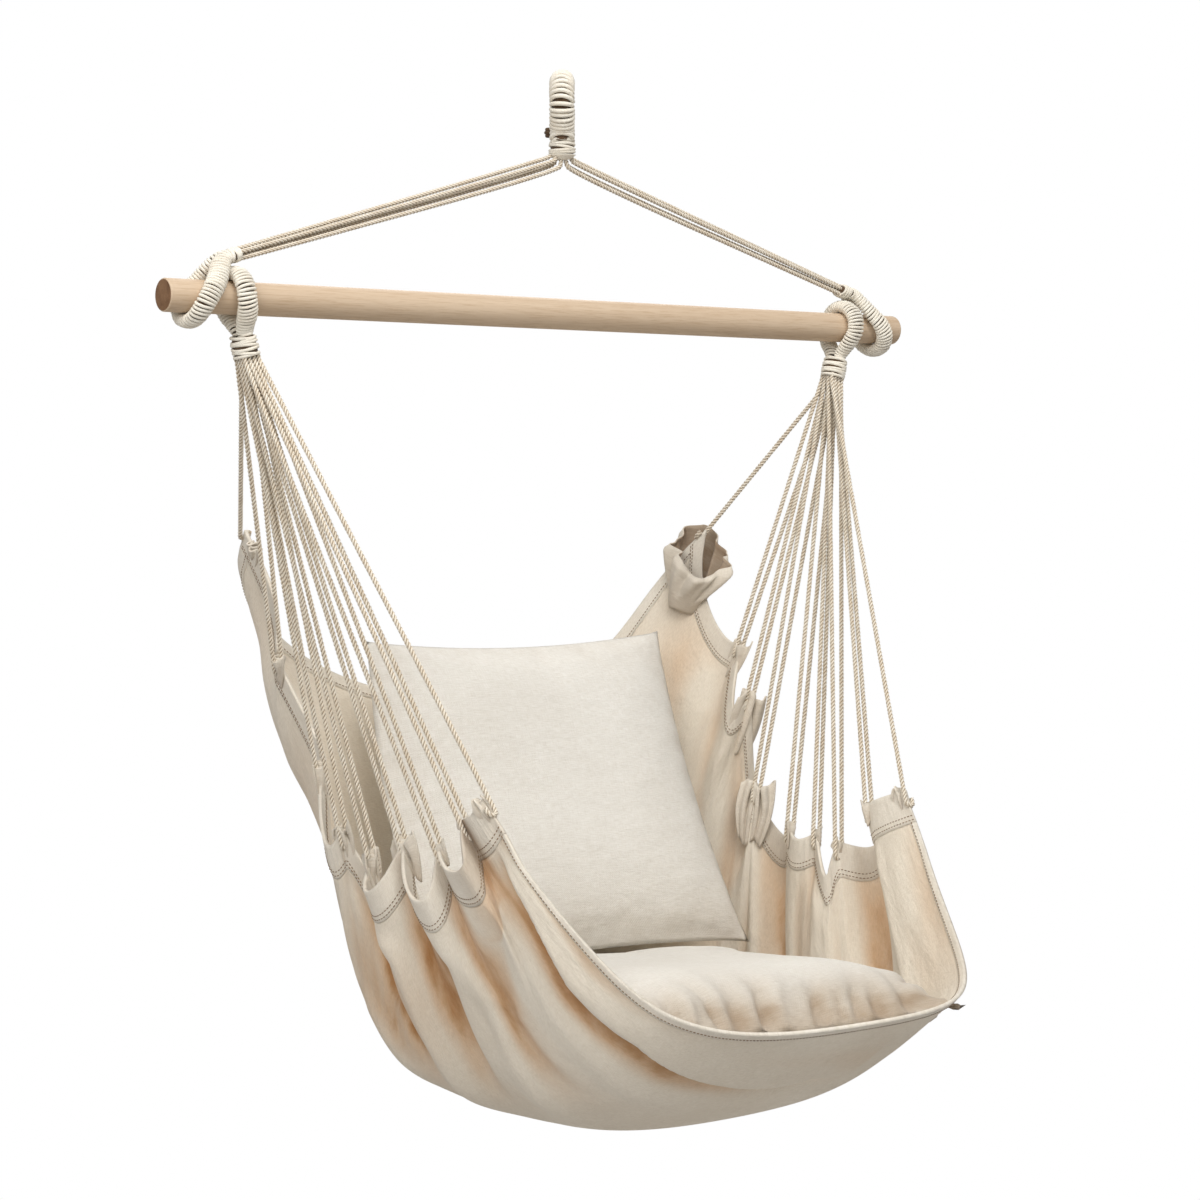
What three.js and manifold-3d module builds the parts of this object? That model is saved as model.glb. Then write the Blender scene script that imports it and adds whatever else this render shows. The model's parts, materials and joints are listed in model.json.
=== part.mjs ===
// A hammock chair: a canvas bag that hangs by fans of cord from a beech bar, with two loose cushions.
// Millimetres, Z up, X along the bar. The sitter faces -Y. The origin is where the hook carries the loop.
import * as THREE from 'three';
import { mergeVertices } from 'three/addons/utils/BufferGeometryUtils.js';
import Module from 'manifold-3d';

const wasm = await Module();
wasm.setup();

const LEFT = -1;
const RIGHT = 1;
const sides = [LEFT, RIGHT];
const sideNames = new Map([[LEFT, 'left'], [RIGHT, 'right']]);
const fullTurn = 2 * Math.PI;

// Spreader bar
const barLength = 1000;
const barDiameter = 34;
const barEdgeRound = 2;
const barFacets = 24;
const hookToBar = 241;

// Fits
const touchGap = 0.3;
const runningGap = 0.5;
const cushionGap = 1.5;

// Hanging loop, a whipped rope eye that the hook carries
const hookOpeningWidth = 26;
const hookOpeningHeight = 48;
const hookRopeDiameter = 18;
const hookWhippingDiameter = 3.6;
const hookWhippingTurns = 8;
const hookWhippingSteps = 8;
const hookWhippingShares = [0.17, 0.83];
const hookLoopTurn = THREE.MathUtils.degToRad(-38);
const lashingHeight = 25;
const lashingTopWidth = 40;
const lashingTopDepth = 28;
const lashingFootDiameter = 34;
const lashingBallDiameter = 44;
const lashingBallSteps = 4;

// Eyes on the bar, bunched and flattened rope under a whipping
const eyeRopeThickness = 8.4;
const eyeRopeWidth = 16.4;
const eyeEndThickness = 8.4;
const eyeEndWidth = 9.6;
const eyeWhippingDiameter = 2.6;
const eyeWhippingTurns = 9;
const eyeWhippingSteps = 8;
const whippingFit = 0.4;
const hookWhippingFit = 0.1;
const lowerEyeFromEnd = 82;
const lowerEyeReach = 38;
const lowerEyeLegGap = 3;
const lowerEyeLean = THREE.MathUtils.degToRad(14.3);
const upperEyeFootFromEnd = 30;
const upperEyeNeckFromEnd = 75;
const upperEyeNeckRise = 41.5;
const upperEyeLegGap = 1.2;
const upperEyeLeanPower = 1.6;

// Collars that lash the eyes to their cords
const lowerCollarHeight = 21;
const lowerCollarTopWidth = 31;
const lowerCollarTopDepth = 27;
const lowerCollarFootDiameter = 28.6;
const upperCollarLength = 12;
const upperCollarWidth = 25;
const upperCollarThickness = 15.4;

// Cords
const cordDiameter = 5;
const cordSides = 8;
const cordPitch = 5.4;
const bridleCordCount = 4;
const bridleHubSpacing = 3.5;
const bridleHubStagger = 2.7;
const bridleEndSpacing = 3.3;
const bridleEndStagger = 2.2;
const bridleHubFall = 3.1;
const fanCordRows = 4;

// Cloth
const clothThickness = 4;
const seatHalfWidth = 312;
const seatDepth = 430;
const seatDrop = 625;
const bellyDrop = 862;
const frontHemReach = 464;
const hemPull = 240;
const rearFlare = 45;
const frontFlare = 49;
const hemWidth = 42;
const endHemWidth = 14;
const hemHoleInset = 15;
const holeClearance = 0.3;
const holeSides = 6;
const scallopDepth = 42;
const foldDepth = 26;
const foldReachShare = 0.85;
const rearFoldTurn = THREE.MathUtils.degToRad(50);
const frontFoldTurn = THREE.MathUtils.degToRad(-25);
const stepsPerGap = 4;
const panelColumns = 12;
const hemRows = 2;

// How far the side edge and the belly pull the curve between them, at the same stations as the holes
const edgePulls = [138, 181, 224, 252, 230, 222, 246, 259, 230];
const bellyPulls = [216, 234, 275, 303, 301, 262, 247, 229, 232];
// Places of the cord holes from the rear corner to the front corner, as shares of the seat's depth
// and drop: [along Y over the depth, down over the drop]
const leftHoleShares = [
  [0.36, 0.379], [0.208, 0.6], [0.017, 0.773], [-0.081, 0.871], [-0.208, 0.909],
  [-0.339, 0.877], [-0.48, 0.875], [-0.577, 0.827], [-0.659, 0.789],
];
const rightHoleShares = [
  [0.29, 0.385], [0.14, 0.605], [0.1, 0.702], [0.07, 0.87], [-0.066, 0.937],
  [-0.172, 0.942], [-0.257, 0.953], [-0.373, 0.881], [-0.516, 0.844],
];
// The middle line of the cloth at the same stations: [along Y over the front hem's reach,
// down over the belly's drop]
const middleShares = [
  [0.363, 0.5], [0.252, 0.651], [0.139, 0.801], [0.01, 0.931], [-0.171, 0.98],
  [-0.383, 1.002], [-0.615, 0.977], [-0.831, 0.914], [-1, 0.839],
];
// How far each gap between holes is gathered, and which way its fold turns
const leftScallopShares = [0.35, 0.75, 0.8, 1, 0.9, 1, 1.1, 0.12];
const rightScallopShares = [0.35, 0.7, 0.4, 0.8, 0.35, 0.8, 0.6, 0.05];
const foldShares = [0.4, -0.55, 0.8, -0.6, 1, 0.85, 1, 0.25];

// Cushions
const seatCushionWidth = 428;
const seatCushionDepth = 430;
const seatCushionThickness = 96;
const seatCushionFromBar = 200;
const seatCushionTilt = THREE.MathUtils.degToRad(-3.2);
const seatCushionRoll = THREE.MathUtils.degToRad(2.5);
const seatCushionBend = 14;
const seatCushionDish = 20;
const backCushionWidth = 440;
const backCushionHeight = 378;
const backCushionThickness = 100;
const backCushionLean = THREE.MathUtils.degToRad(25.5);
const backCushionFromBar = -98;
const backCushionAside = 10;
const backCushionBend = 6;
const backCushionDish = 4;
const cushionDrawIn = 12;
const cushionSteps = 11;
const crownPower = 4;
const cushionStart = 400;

// Materials
const finishes = {
  wood: { color: 0xdcc8b0, roughness: 0.6, metalness: 0 },
  rope: { color: 0xe6dfd0, roughness: 0.95, metalness: 0 },
  cord: { color: 0xd9cdb8, roughness: 0.95, metalness: 0 },
  canvas: { color: 0xd8c8b0, roughness: 0.95, metalness: 0 },
  cushion: { color: 0xe7e4d8, roughness: 0.95, metalness: 0 },
};

// Sizes that follow from the ones above
const barRadius = barDiameter / 2;
const lowerEyeFromCentre = barLength / 2 - lowerEyeFromEnd;
const upperEyeFootFromCentre = barLength / 2 - upperEyeFootFromEnd;
const upperEyeNeckFromCentre = barLength / 2 - upperEyeNeckFromEnd;
const holeCount = leftHoleShares.length;
const gapCount = holeCount - 1;
const chordFactor = steps => 1 / Math.cos(Math.PI / steps);
const woundRadius = (rope, cord, steps, fit) => (
  (rope / 2 + fit + cord / 2) * chordFactor(steps)
);
const eyeWindThickness = woundRadius(
  eyeRopeThickness, eyeWhippingDiameter, eyeWhippingSteps, whippingFit,
);
const eyeWindWidth = woundRadius(
  eyeRopeWidth, eyeWhippingDiameter, eyeWhippingSteps, whippingFit,
);
const eyeRadius = barRadius + runningGap + eyeWindThickness + eyeWhippingDiameter / 2;
const hookWind = woundRadius(
  hookRopeDiameter, hookWhippingDiameter, hookWhippingSteps, hookWhippingFit,
);
const hookWoundRadius = hookWind + hookWhippingDiameter / 2;
const lashingTop = hookToBar - hookOpeningHeight;
const lashingFoot = lashingTop - lashingHeight;
const ballRadius = lashingBallDiameter / 2;
const lashingPivot = lashingFoot + ballRadius;
const holeDiameter = (cordDiameter + 2 * holeClearance) * chordFactor(holeSides);

function mesh(name, geometry, finish) {
  const made = new THREE.Mesh(geometry, new THREE.MeshStandardMaterial(finishes[finish]));
  made.name = name;
  return made;
}

function bare(geometry) {
  const copy = geometry.clone();
  for (const name of Object.keys(copy.attributes)) {
    if (name !== 'position') {
      copy.deleteAttribute(name);
    }
  }
  return mergeVertices(copy, touchGap / 100);
}

function geometryFrom(points, faces) {
  const geometry = new THREE.BufferGeometry().setFromPoints(points);
  geometry.setIndex(faces);
  geometry.computeVertexNormals();
  return geometry;
}

// A path whose sections stand at its own points, so straight runs need no sections between
class Route extends THREE.Curve {
  constructor(points) {
    super();
    this.points = points;
  }

  getPoint(share) {
    const last = this.points.length - 1;
    const place = THREE.MathUtils.clamp(share, 0, 1) * last;
    const index = Math.min(Math.floor(place), last - 1);
    return this.points[index].clone().lerp(this.points[index + 1], place - index);
  }

  getPointAt(share) {
    return this.getPoint(share);
  }

  getTangentAt(share) {
    return this.getTangent(share);
  }
}

function cordAlong(points, diameter, facets) {
  const rim = [];
  for (let i = 0; i < facets; i += 1) {
    const angle = fullTurn * i / facets;
    rim.push(new THREE.Vector2(Math.cos(angle), Math.sin(angle)).multiplyScalar(diameter / 2));
  }
  return new THREE.ExtrudeGeometry(new THREE.Shape(rim), {
    steps: points.length - 1,
    bevelEnabled: false,
    extrudePath: new Route(points),
  });
}

// A closed skin over rings of points, each ring with as many points, closed by a fan at each end
function loft(rings) {
  const around = rings[0].length;
  const points = rings.flat();
  const faces = [];
  for (let i = 0; i < rings.length - 1; i += 1) {
    for (let j = 0; j < around; j += 1) {
      const next = (j + 1) % around;
      const a = i * around + j;
      const b = i * around + next;
      faces.push(a, b, a + around, b, b + around, a + around);
    }
  }
  const last = (rings.length - 1) * around;
  for (let j = 1; j < around - 1; j += 1) {
    faces.push(0, j + 1, j);
    faces.push(last, last + j, last + j + 1);
  }
  return geometryFrom(points, faces);
}

// One ring of a loft: an oval round a centre, from a first half axis to a second one
function ovalRing(centre, first, second, halfFirst, halfSecond, facets) {
  const ring = [];
  for (let i = 0; i < facets; i += 1) {
    const angle = fullTurn * i / facets;
    ring.push(centre.clone()
      .addScaledVector(first, halfFirst * Math.cos(angle))
      .addScaledVector(second, halfSecond * Math.sin(angle)));
  }
  return ring;
}

// The frame of an eye's rope at a share of its length: along it, away from what it goes round,
// and across its flat side
function ropeFrame(curve, share, outwardAt) {
  const point = curve.getPointAt(share);
  const along = curve.getTangentAt(share);
  const outward = outwardAt(point);
  outward.addScaledVector(along, -outward.dot(along)).normalize();
  return { point, along, outward, across: along.clone().cross(outward) };
}

function eyeRope(curve, outwardAt, sizeAt, steps, facets) {
  const rings = [];
  for (let i = 0; i <= steps; i += 1) {
    const frame = ropeFrame(curve, i / steps, outwardAt);
    const [thickness, width] = sizeAt(i / steps);
    rings.push(ovalRing(frame.point, frame.outward, frame.across, thickness / 2, width / 2, facets));
  }
  return loft(rings);
}

// A whipping as one unbroken cord round the rope, from a first share of its length to a last
function whippingPath(curve, outwardAt, span, turns, stepsPerTurn, halfThickness, halfWidth) {
  const points = [];
  const count = turns * stepsPerTurn;
  for (let i = 0; i <= count; i += 1) {
    const share = span[0] + (span[1] - span[0]) * i / count;
    const frame = ropeFrame(curve, share, outwardAt);
    const angle = fullTurn * i / stepsPerTurn;
    points.push(frame.point.clone()
      .addScaledVector(frame.outward, halfThickness * Math.cos(angle))
      .addScaledVector(frame.across, halfWidth * Math.sin(angle)));
  }
  return points;
}

function leastGap(points, diameter, stepsPerTurn) {
  let least = Infinity;
  for (let i = 0; i < points.length; i += 1) {
    for (let j = i + Math.floor(stepsPerTurn / 2); j < points.length; j += 1) {
      least = Math.min(least, points[i].distanceTo(points[j]) - diameter);
    }
  }
  return least;
}

function whipping(name, points, diameter, stepsPerTurn) {
  console.log(`${name}: least gap to itself ${leastGap(points, diameter, stepsPerTurn).toFixed(2)} mm`);
  return mesh(name, cordAlong(points, diameter, 4), 'rope');
}

// Hanging loop, lashing and bridle
function hookCurve() {
  const reach = hookOpeningWidth / 2 + hookWoundRadius;
  const arch = -hookOpeningWidth / 2;
  const legs = hookRopeDiameter / 2 + touchGap;
  const foot = -hookOpeningHeight;
  const points = [
    new THREE.Vector3(-legs, 0, foot),
    new THREE.Vector3(-legs, 0, foot + hookRopeDiameter / 3),
    new THREE.Vector3(-legs - (reach - legs) * 3 / 4, 0, foot / 2),
  ];
  for (let i = 0; i <= 4; i += 1) {
    const angle = Math.PI * (1 - i / 4);
    points.push(new THREE.Vector3(reach * Math.cos(angle), 0, arch + reach * Math.sin(angle)));
  }
  const mirrored = points.slice(0, 3).reverse().map(p => new THREE.Vector3(-p.x, 0, p.z));
  return new THREE.CatmullRomCurve3([...points, ...mirrored]);
}

function makeHanger() {
  const group = new THREE.Group();
  const curve = hookCurve();
  const outwardAt = () => new THREE.Vector3(0, 1, 0);
  const rope = eyeRope(curve, outwardAt, () => [hookRopeDiameter, hookRopeDiameter], 24, 8);
  const path = whippingPath(
    curve, outwardAt, hookWhippingShares, hookWhippingTurns, hookWhippingSteps, hookWind, hookWind,
  );
  group.add(mesh('hanging_loop', rope, 'rope'));
  group.add(whipping('hanging_loop_whipping', path, hookWhippingDiameter, hookWhippingSteps));
  group.add(mesh('hanging_lashing', hangingLashing(), 'rope'));
  group.rotation.z = Math.PI / 2 + hookLoopTurn;
  return group;
}

// The lashing ends in part of a ball, on which the bar can tilt
function hangingLashing() {
  const across = new THREE.Vector3(1, 0, 0);
  const other = new THREE.Vector3(0, -1, 0);
  const top = -hookOpeningHeight - touchGap;
  const pivot = lashingPivot - hookToBar;
  const rimAngle = Math.asin(lashingFootDiameter / lashingBallDiameter);
  const rings = [
    ovalRing(new THREE.Vector3(0, 0, top), across, other, lashingTopWidth / 2, lashingTopDepth / 2, 16),
  ];
  for (let i = 0; i < lashingBallSteps; i += 1) {
    const angle = rimAngle * (1 - i / lashingBallSteps);
    const radius = ballRadius * Math.sin(angle);
    const centre = new THREE.Vector3(0, 0, pivot - ballRadius * Math.cos(angle));
    rings.push(ovalRing(centre, across, other, radius, radius, 16));
  }
  return loft(rings);
}

// A lashed collar: it swells a little between its two end faces
function collar(start, along, across, length, startSize, endSize) {
  const other = along.clone().cross(across);
  const swell = [1, 1.06, 1.06, 1];
  const rings = swell.map((share, i) => {
    const place = i / (swell.length - 1);
    const centre = start.clone().addScaledVector(along, length * place);
    const width = THREE.MathUtils.lerp(startSize[0], endSize[0], place) * share;
    const depth = THREE.MathUtils.lerp(startSize[1], endSize[1], place) * share;
    return ovalRing(centre, across, other, width / 2, depth / 2, 16);
  });
  return loft(rings);
}

function bridleDirection(side) {
  const neck = new THREE.Vector3(side * upperEyeNeckFromCentre, 0, upperEyeNeckRise);
  return new THREE.Vector3(0, 0, lashingFoot - 2 * bridleHubFall).sub(neck).normalize();
}

function bridleCord(side, index) {
  const middle = (bridleCordCount - 1) / 2;
  const stagger = index % 2 === 0 ? -1 : 1;
  const along = bridleDirection(side);
  const upright = new THREE.Vector3(side * along.z, 0, Math.abs(along.x));
  const end = new THREE.Vector3(side * upperEyeNeckFromCentre, 0, upperEyeNeckRise)
    .addScaledVector(along, upperCollarLength + touchGap)
    .addScaledVector(upright, (index - middle) * bridleEndSpacing)
    .add(new THREE.Vector3(0, stagger * bridleEndStagger, 0));
  const out = side * bridleHubSpacing * (index + 1);
  const start = ballRadius + touchGap;
  const radial = new THREE.Vector3(out, stagger * bridleHubStagger, 0).divideScalar(start);
  radial.z = -Math.sqrt(1 - radial.lengthSq());
  const pivot = new THREE.Vector3(0, 0, lashingPivot);
  const top = pivot.clone().addScaledVector(radial, start);
  const fall = bridleHubFall * (bridleCordCount - index);
  const bend = pivot.addScaledVector(radial, start + fall);
  const away = bend.clone().addScaledVector(end.clone().sub(bend).normalize(), cordDiameter);
  const last = end.clone().addScaledVector(along, cordDiameter);
  return cordAlong([top, bend, away, last, end], cordDiameter, cordSides);
}

// Spreader bar with its two slanting eyes
function spreaderBar() {
  const half = barLength / 2;
  const profile = [
    new THREE.Vector2(0, -half),
    new THREE.Vector2(barRadius - barEdgeRound, -half),
    new THREE.Vector2(barRadius, -half + barEdgeRound),
    new THREE.Vector2(barRadius, half - barEdgeRound),
    new THREE.Vector2(barRadius - barEdgeRound, half),
    new THREE.Vector2(0, half),
  ];
  return new THREE.LatheGeometry(profile, barFacets).rotateZ(-Math.PI / 2);
}

function upperEyeCurve(side) {
  const along = bridleDirection(side);
  const legs = eyeEndWidth / 2 + upperEyeLegGap / 2;
  const inwardAt = rise => {
    const share = (rise + eyeRadius) / (upperEyeNeckRise + eyeRadius);
    return (upperEyeFootFromCentre - upperEyeNeckFromCentre) * share ** upperEyeLeanPower;
  };
  const place = (y, rise) => (
    new THREE.Vector3(side * (upperEyeFootFromCentre - inwardAt(rise)), y, rise)
  );
  const neck = new THREE.Vector3(side * upperEyeNeckFromCentre, legs, upperEyeNeckRise);
  const half = [neck, neck.clone().addScaledVector(along, -eyeRadius / 3)];
  for (const degrees of [128, 100, 70, 35]) {
    const angle = THREE.MathUtils.degToRad(degrees);
    half.push(place(eyeRadius * Math.sin(angle), -eyeRadius * Math.cos(angle)));
  }
  const mirrored = half.slice().reverse().map(p => new THREE.Vector3(p.x, -p.y, p.z));
  return new THREE.CatmullRomCurve3([...half, place(0, -eyeRadius), ...mirrored]);
}

// A point on a lower eye, which leans inwards below the bar, as its cords pull it
function onLowerEye(side, y, rise) {
  const inward = Math.max(0, -rise) * Math.tan(lowerEyeLean);
  return new THREE.Vector3(side * (lowerEyeFromCentre - inward), y, rise);
}

function lowerEyeCurve(side) {
  const legs = eyeEndWidth / 2 + lowerEyeLegGap / 2;
  const half = [
    onLowerEye(side, legs, -lowerEyeReach),
    onLowerEye(side, legs, -lowerEyeReach + eyeEndThickness / 2),
  ];
  for (const degrees of [52, 80, 110, 145]) {
    const angle = THREE.MathUtils.degToRad(degrees);
    half.push(onLowerEye(side, eyeRadius * Math.sin(angle), -eyeRadius * Math.cos(angle)));
  }
  const mirrored = half.slice().reverse().map(p => new THREE.Vector3(p.x, -p.y, p.z));
  return new THREE.CatmullRomCurve3([...half, onLowerEye(side, 0, eyeRadius), ...mirrored]);
}

// Down a lower eye's neck, and across it
function neckAlong(side) {
  return new THREE.Vector3(-side * Math.sin(lowerEyeLean), 0, -Math.cos(lowerEyeLean));
}

function neckAcross(side) {
  return new THREE.Vector3(side * Math.cos(lowerEyeLean), 0, -Math.sin(lowerEyeLean));
}

function outwardFromBar(point) {
  return new THREE.Vector3(0, point.y, point.z);
}

function eye(name, curve, outwardAt, span) {
  const sizeAt = share => {
    const flat = Math.min(1, Math.min(share, 1 - share) / span[0]);
    return [
      THREE.MathUtils.lerp(eyeEndThickness, eyeRopeThickness, flat),
      THREE.MathUtils.lerp(eyeEndWidth, eyeRopeWidth, flat),
    ];
  };
  const path = whippingPath(
    curve, outwardAt, span, eyeWhippingTurns, eyeWhippingSteps, eyeWindThickness, eyeWindWidth,
  );
  return [
    mesh(name, eyeRope(curve, outwardAt, sizeAt, 22, 8), 'rope'),
    whipping(`${name}_whipping`, path, eyeWhippingDiameter, eyeWhippingSteps),
  ];
}

function makeSpreader() {
  const group = new THREE.Group();
  group.add(mesh('spreader_bar', spreaderBar(), 'wood'));
  for (const side of sides) {
    const name = sideNames.get(side);
    const along = bridleDirection(side);
    const neck = new THREE.Vector3(side * upperEyeNeckFromCentre, 0, upperEyeNeckRise);
    group.add(...eye(`upper_eye_${name}`, upperEyeCurve(side), outwardFromBar, [0.2, 0.8]));
    group.add(mesh(`upper_collar_${name}`, collar(
      neck.addScaledVector(along, touchGap),
      along,
      new THREE.Vector3(0, 1, 0),
      upperCollarLength - touchGap,
      [upperCollarWidth, upperCollarThickness],
      [upperCollarWidth, upperCollarThickness],
    ), 'rope'));
    for (let i = 0; i < bridleCordCount; i += 1) {
      group.add(mesh(`bridle_cord_${name}_${i + 1}`, bridleCord(side, i), 'cord'));
    }
  }
  return group;
}

// Cloth: one surface from the left side edge, through the belly, to the right side edge
function stationPoint(shares, width, depth, drop) {
  return new THREE.CatmullRomCurve3(
    shares.map(([along, down]) => new THREE.Vector3(width, along * depth, -down * drop)),
    false,
    'centripetal',
  );
}

const scallops = new Map([[LEFT, leftScallopShares], [RIGHT, rightScallopShares]]);
const edges = new Map([
  [LEFT, stationPoint(leftHoleShares, LEFT * seatHalfWidth, seatDepth, seatDrop)],
  [RIGHT, stationPoint(rightHoleShares, RIGHT * seatHalfWidth, seatDepth, seatDrop)],
]);
const middle = stationPoint(middleShares, 0, frontHemReach, bellyDrop);

// The share of one gap between two holes, as a smooth swell that is zero at both holes
function gapSwell(station, shares) {
  const place = THREE.MathUtils.clamp(station, 0, 1) * gapCount;
  const index = Math.min(Math.floor(place), gapCount - 1);
  return shares[index] * Math.sin(Math.PI * (place - index)) ** 2;
}

function alongStations(values, station) {
  const place = THREE.MathUtils.clamp(station, 0, 1) * gapCount;
  const index = Math.min(Math.floor(place), gapCount - 1);
  return THREE.MathUtils.lerp(values[index], values[index + 1], place - index);
}

function fanNeck(side) {
  return onLowerEye(side, 0, -lowerEyeReach)
    .addScaledVector(neckAlong(side), touchGap + lowerCollarHeight);
}

// One point of the cloth. across runs from -1 at the left edge to 1 at the right edge, station
// from 0 at the rear hem to 1 at the front hem
function clothPoint(across, station) {
  const side = across < 0 ? LEFT : RIGHT;
  const edge = edges.get(side).getPoint(station);
  const belly = middle.getPoint(station);
  const pull = alongStations(edgePulls, station);
  const level = alongStations(bellyPulls, station);
  const away = edge.clone().sub(fanNeck(side)).normalize();
  const handle = edge.clone().addScaledVector(away, pull);
  handle.y += rearFlare * Math.max(0, 1 - station * 3);
  handle.y -= frontFlare * Math.max(0, station * 3 - 2);
  const floor = belly.clone().add(new THREE.Vector3(side * level, 0, 0));
  const edgeShare = gapSwell(station, scallops.get(side)) * scallopDepth / (3 * pull);
  const share = edgeShare + (1 - edgeShare) * (1 - Math.abs(across));
  const point = new THREE.CubicBezierCurve3(edge, handle, floor, belly).getPoint(share);
  const reach = Math.max(0, 1 - (1 - Math.abs(across)) / foldReachShare);
  const turn = THREE.MathUtils.lerp(rearFoldTurn, frontFoldTurn, station);
  const outward = new THREE.Vector3(side * Math.cos(turn), Math.sin(turn), 0);
  return point.addScaledVector(outward, foldDepth * gapSwell(station, foldShares) * reach ** 2);
}

function clothNormal(across, station) {
  const small = 1 / 1000;
  const u = THREE.MathUtils.clamp(across, small - 1, 1 - small);
  const v = THREE.MathUtils.clamp(station, small, 1 - small);
  const alongX = clothPoint(u + small, v).sub(clothPoint(u - small, v));
  const alongV = clothPoint(u, v + small).sub(clothPoint(u, v - small));
  return alongX.cross(alongV).normalize();
}

function clothFace(across, station, offset) {
  return clothPoint(across, station).addScaledVector(clothNormal(across, station), offset);
}

// A closed sheet over a grid of shares across and stations along
function sheet(columns, stations) {
  const wide = columns.length;
  const count = wide * stations.length;
  const points = [];
  for (const offset of [clothThickness / 2, -clothThickness / 2]) {
    for (const station of stations) {
      for (const across of columns) {
        points.push(clothFace(across, station, offset));
      }
    }
  }
  return geometryFrom(points, slabFaces(wide, stations.length, count));
}

function slabFaces(wide, long, count) {
  const faces = [];
  const quad = (a, b, c, d) => faces.push(a, b, c, a, c, d);
  for (let i = 0; i < long - 1; i += 1) {
    for (let j = 0; j < wide - 1; j += 1) {
      const a = i * wide + j;
      quad(a, a + 1, a + wide + 1, a + wide);
      quad(count + a, count + a + wide, count + a + wide + 1, count + a + 1);
    }
  }
  const rim = [];
  for (let j = 0; j < wide - 1; j += 1) {
    rim.push(j);
  }
  for (let i = 0; i < long - 1; i += 1) {
    rim.push(i * wide + wide - 1);
  }
  for (let j = wide - 1; j > 0; j -= 1) {
    rim.push((long - 1) * wide + j);
  }
  for (let i = long - 1; i > 0; i -= 1) {
    rim.push(i * wide);
  }
  rim.forEach((a, i) => {
    const b = rim[(i + 1) % rim.length];
    if (a < b) {
      quad(a, count + a, count + b, b);
    } else {
      quad(count + a, count + b, b, a);
    }
  });
  return faces;
}

function spread(from, to, steps) {
  return Array.from({ length: steps + 1 }, (_, i) => THREE.MathUtils.lerp(from, to, i / steps));
}

const hemShare = hemWidth / (3 * hemPull);
const seamShare = touchGap / (3 * hemPull);
const endHemShare = endHemWidth / (frontHemReach + bellyDrop - seatDrop + seatDepth);
const endSeamShare = endHemShare * touchGap / endHemWidth;
const panelEdge = 1 - hemShare - seamShare;
const allStations = spread(0, 1, gapCount * stepsPerGap);
const innerStations = [
  endHemShare + endSeamShare,
  ...allStations.slice(1, -1),
  1 - endHemShare - endSeamShare,
];
const panelAcross = spread(-panelEdge, panelEdge, panelColumns);

// Fan cords: each goes down outside the hem, through a hole and up inside it
function holeFrame(side, index) {
  const station = index / gapCount;
  const inset = side * (1 - hemHoleInset / (3 * hemPull));
  const small = side / 1000;
  const point = clothPoint(inset, station);
  const down = clothPoint(inset - small, station).sub(clothPoint(inset + small, station));
  const outward = new THREE.Vector3(side, 0, 0);
  down.normalize();
  outward.addScaledVector(down, -outward.dot(down)).normalize();
  return { point, down, outward };
}

// The place of one cord leg in the bundle at the collar. The rows run across the bundle, with the
// outer legs in its outer half, and the columns run from the rear to the front. Of two legs in a
// column, the one with the shorter way lies further in, so that the two never cross
function bundlePlace(side, leg, outer) {
  const half = fanCordRows / 2;
  const column = Math.floor(leg / half);
  const shorterFirst = column < half ? 1 : 0;
  const row = ((leg + shorterFirst) % half) + (outer ? 0 : half);
  const middleSlot = (fanCordRows - 1) / 2;
  return fanNeck(side)
    .addScaledVector(neckAcross(side), (middleSlot - row) * cordPitch)
    .addScaledVector(neckAlong(side), touchGap)
    .add(new THREE.Vector3(0, (middleSlot - column) * cordPitch, 0));
}

function fanRoute(side, index) {
  const { point, down, outward } = holeFrame(side, index);
  const reach = clothThickness / 2 + holeClearance + cordDiameter / 2;
  const bight = [];
  const bends = 4;
  for (let i = 0; i <= bends; i += 1) {
    const angle = Math.PI * i / bends;
    bight.push(point.clone()
      .addScaledVector(outward, reach * Math.cos(angle))
      .addScaledVector(down, reach * Math.sin(angle)));
  }
  const lead = neckAlong(side).multiplyScalar(cordDiameter);
  const route = [];
  if (index < gapCount) {
    const start = bundlePlace(side, index, true);
    route.push(start, start.clone().add(lead));
  }
  route.push(...bight);
  if (index > 0) {
    const end = bundlePlace(side, index - 1, false);
    route.push(end.clone().add(lead), end);
  }
  if (index === 0) {
    route.push(bight[bends].clone().addScaledVector(down, -cordDiameter));
  }
  if (index === gapCount) {
    route.unshift(bight[0].clone().addScaledVector(down, -cordDiameter));
  }
  return route;
}

function solidOf(geometry) {
  const plain = bare(geometry);
  return new wasm.Manifold(new wasm.Mesh({
    numProp: 3,
    vertProperties: plain.attributes.position.array,
    triVerts: new Uint32Array(plain.index.array),
  }));
}

function cutAway(geometry, cutters) {
  const body = cutters.reduce((left, cutter) => left.subtract(solidOf(cutter)), solidOf(geometry));
  const { vertProperties, triVerts } = body.getMesh();
  const cut = new THREE.BufferGeometry();
  cut.setAttribute('position', new THREE.BufferAttribute(vertProperties, 3));
  cut.setIndex(new THREE.BufferAttribute(triVerts, 1));
  cut.computeVertexNormals();
  return cut;
}

function sideHem(side) {
  const columns = spread(side, side * (1 - hemShare), hemRows);
  if (side === RIGHT) {
    columns.reverse();
  }
  const cutters = [];
  for (let i = 0; i < holeCount; i += 1) {
    cutters.push(cordAlong(fanRoute(side, i), holeDiameter, holeSides));
  }
  return cutAway(sheet(columns, [0, ...innerStations, 1]), cutters);
}

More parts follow.
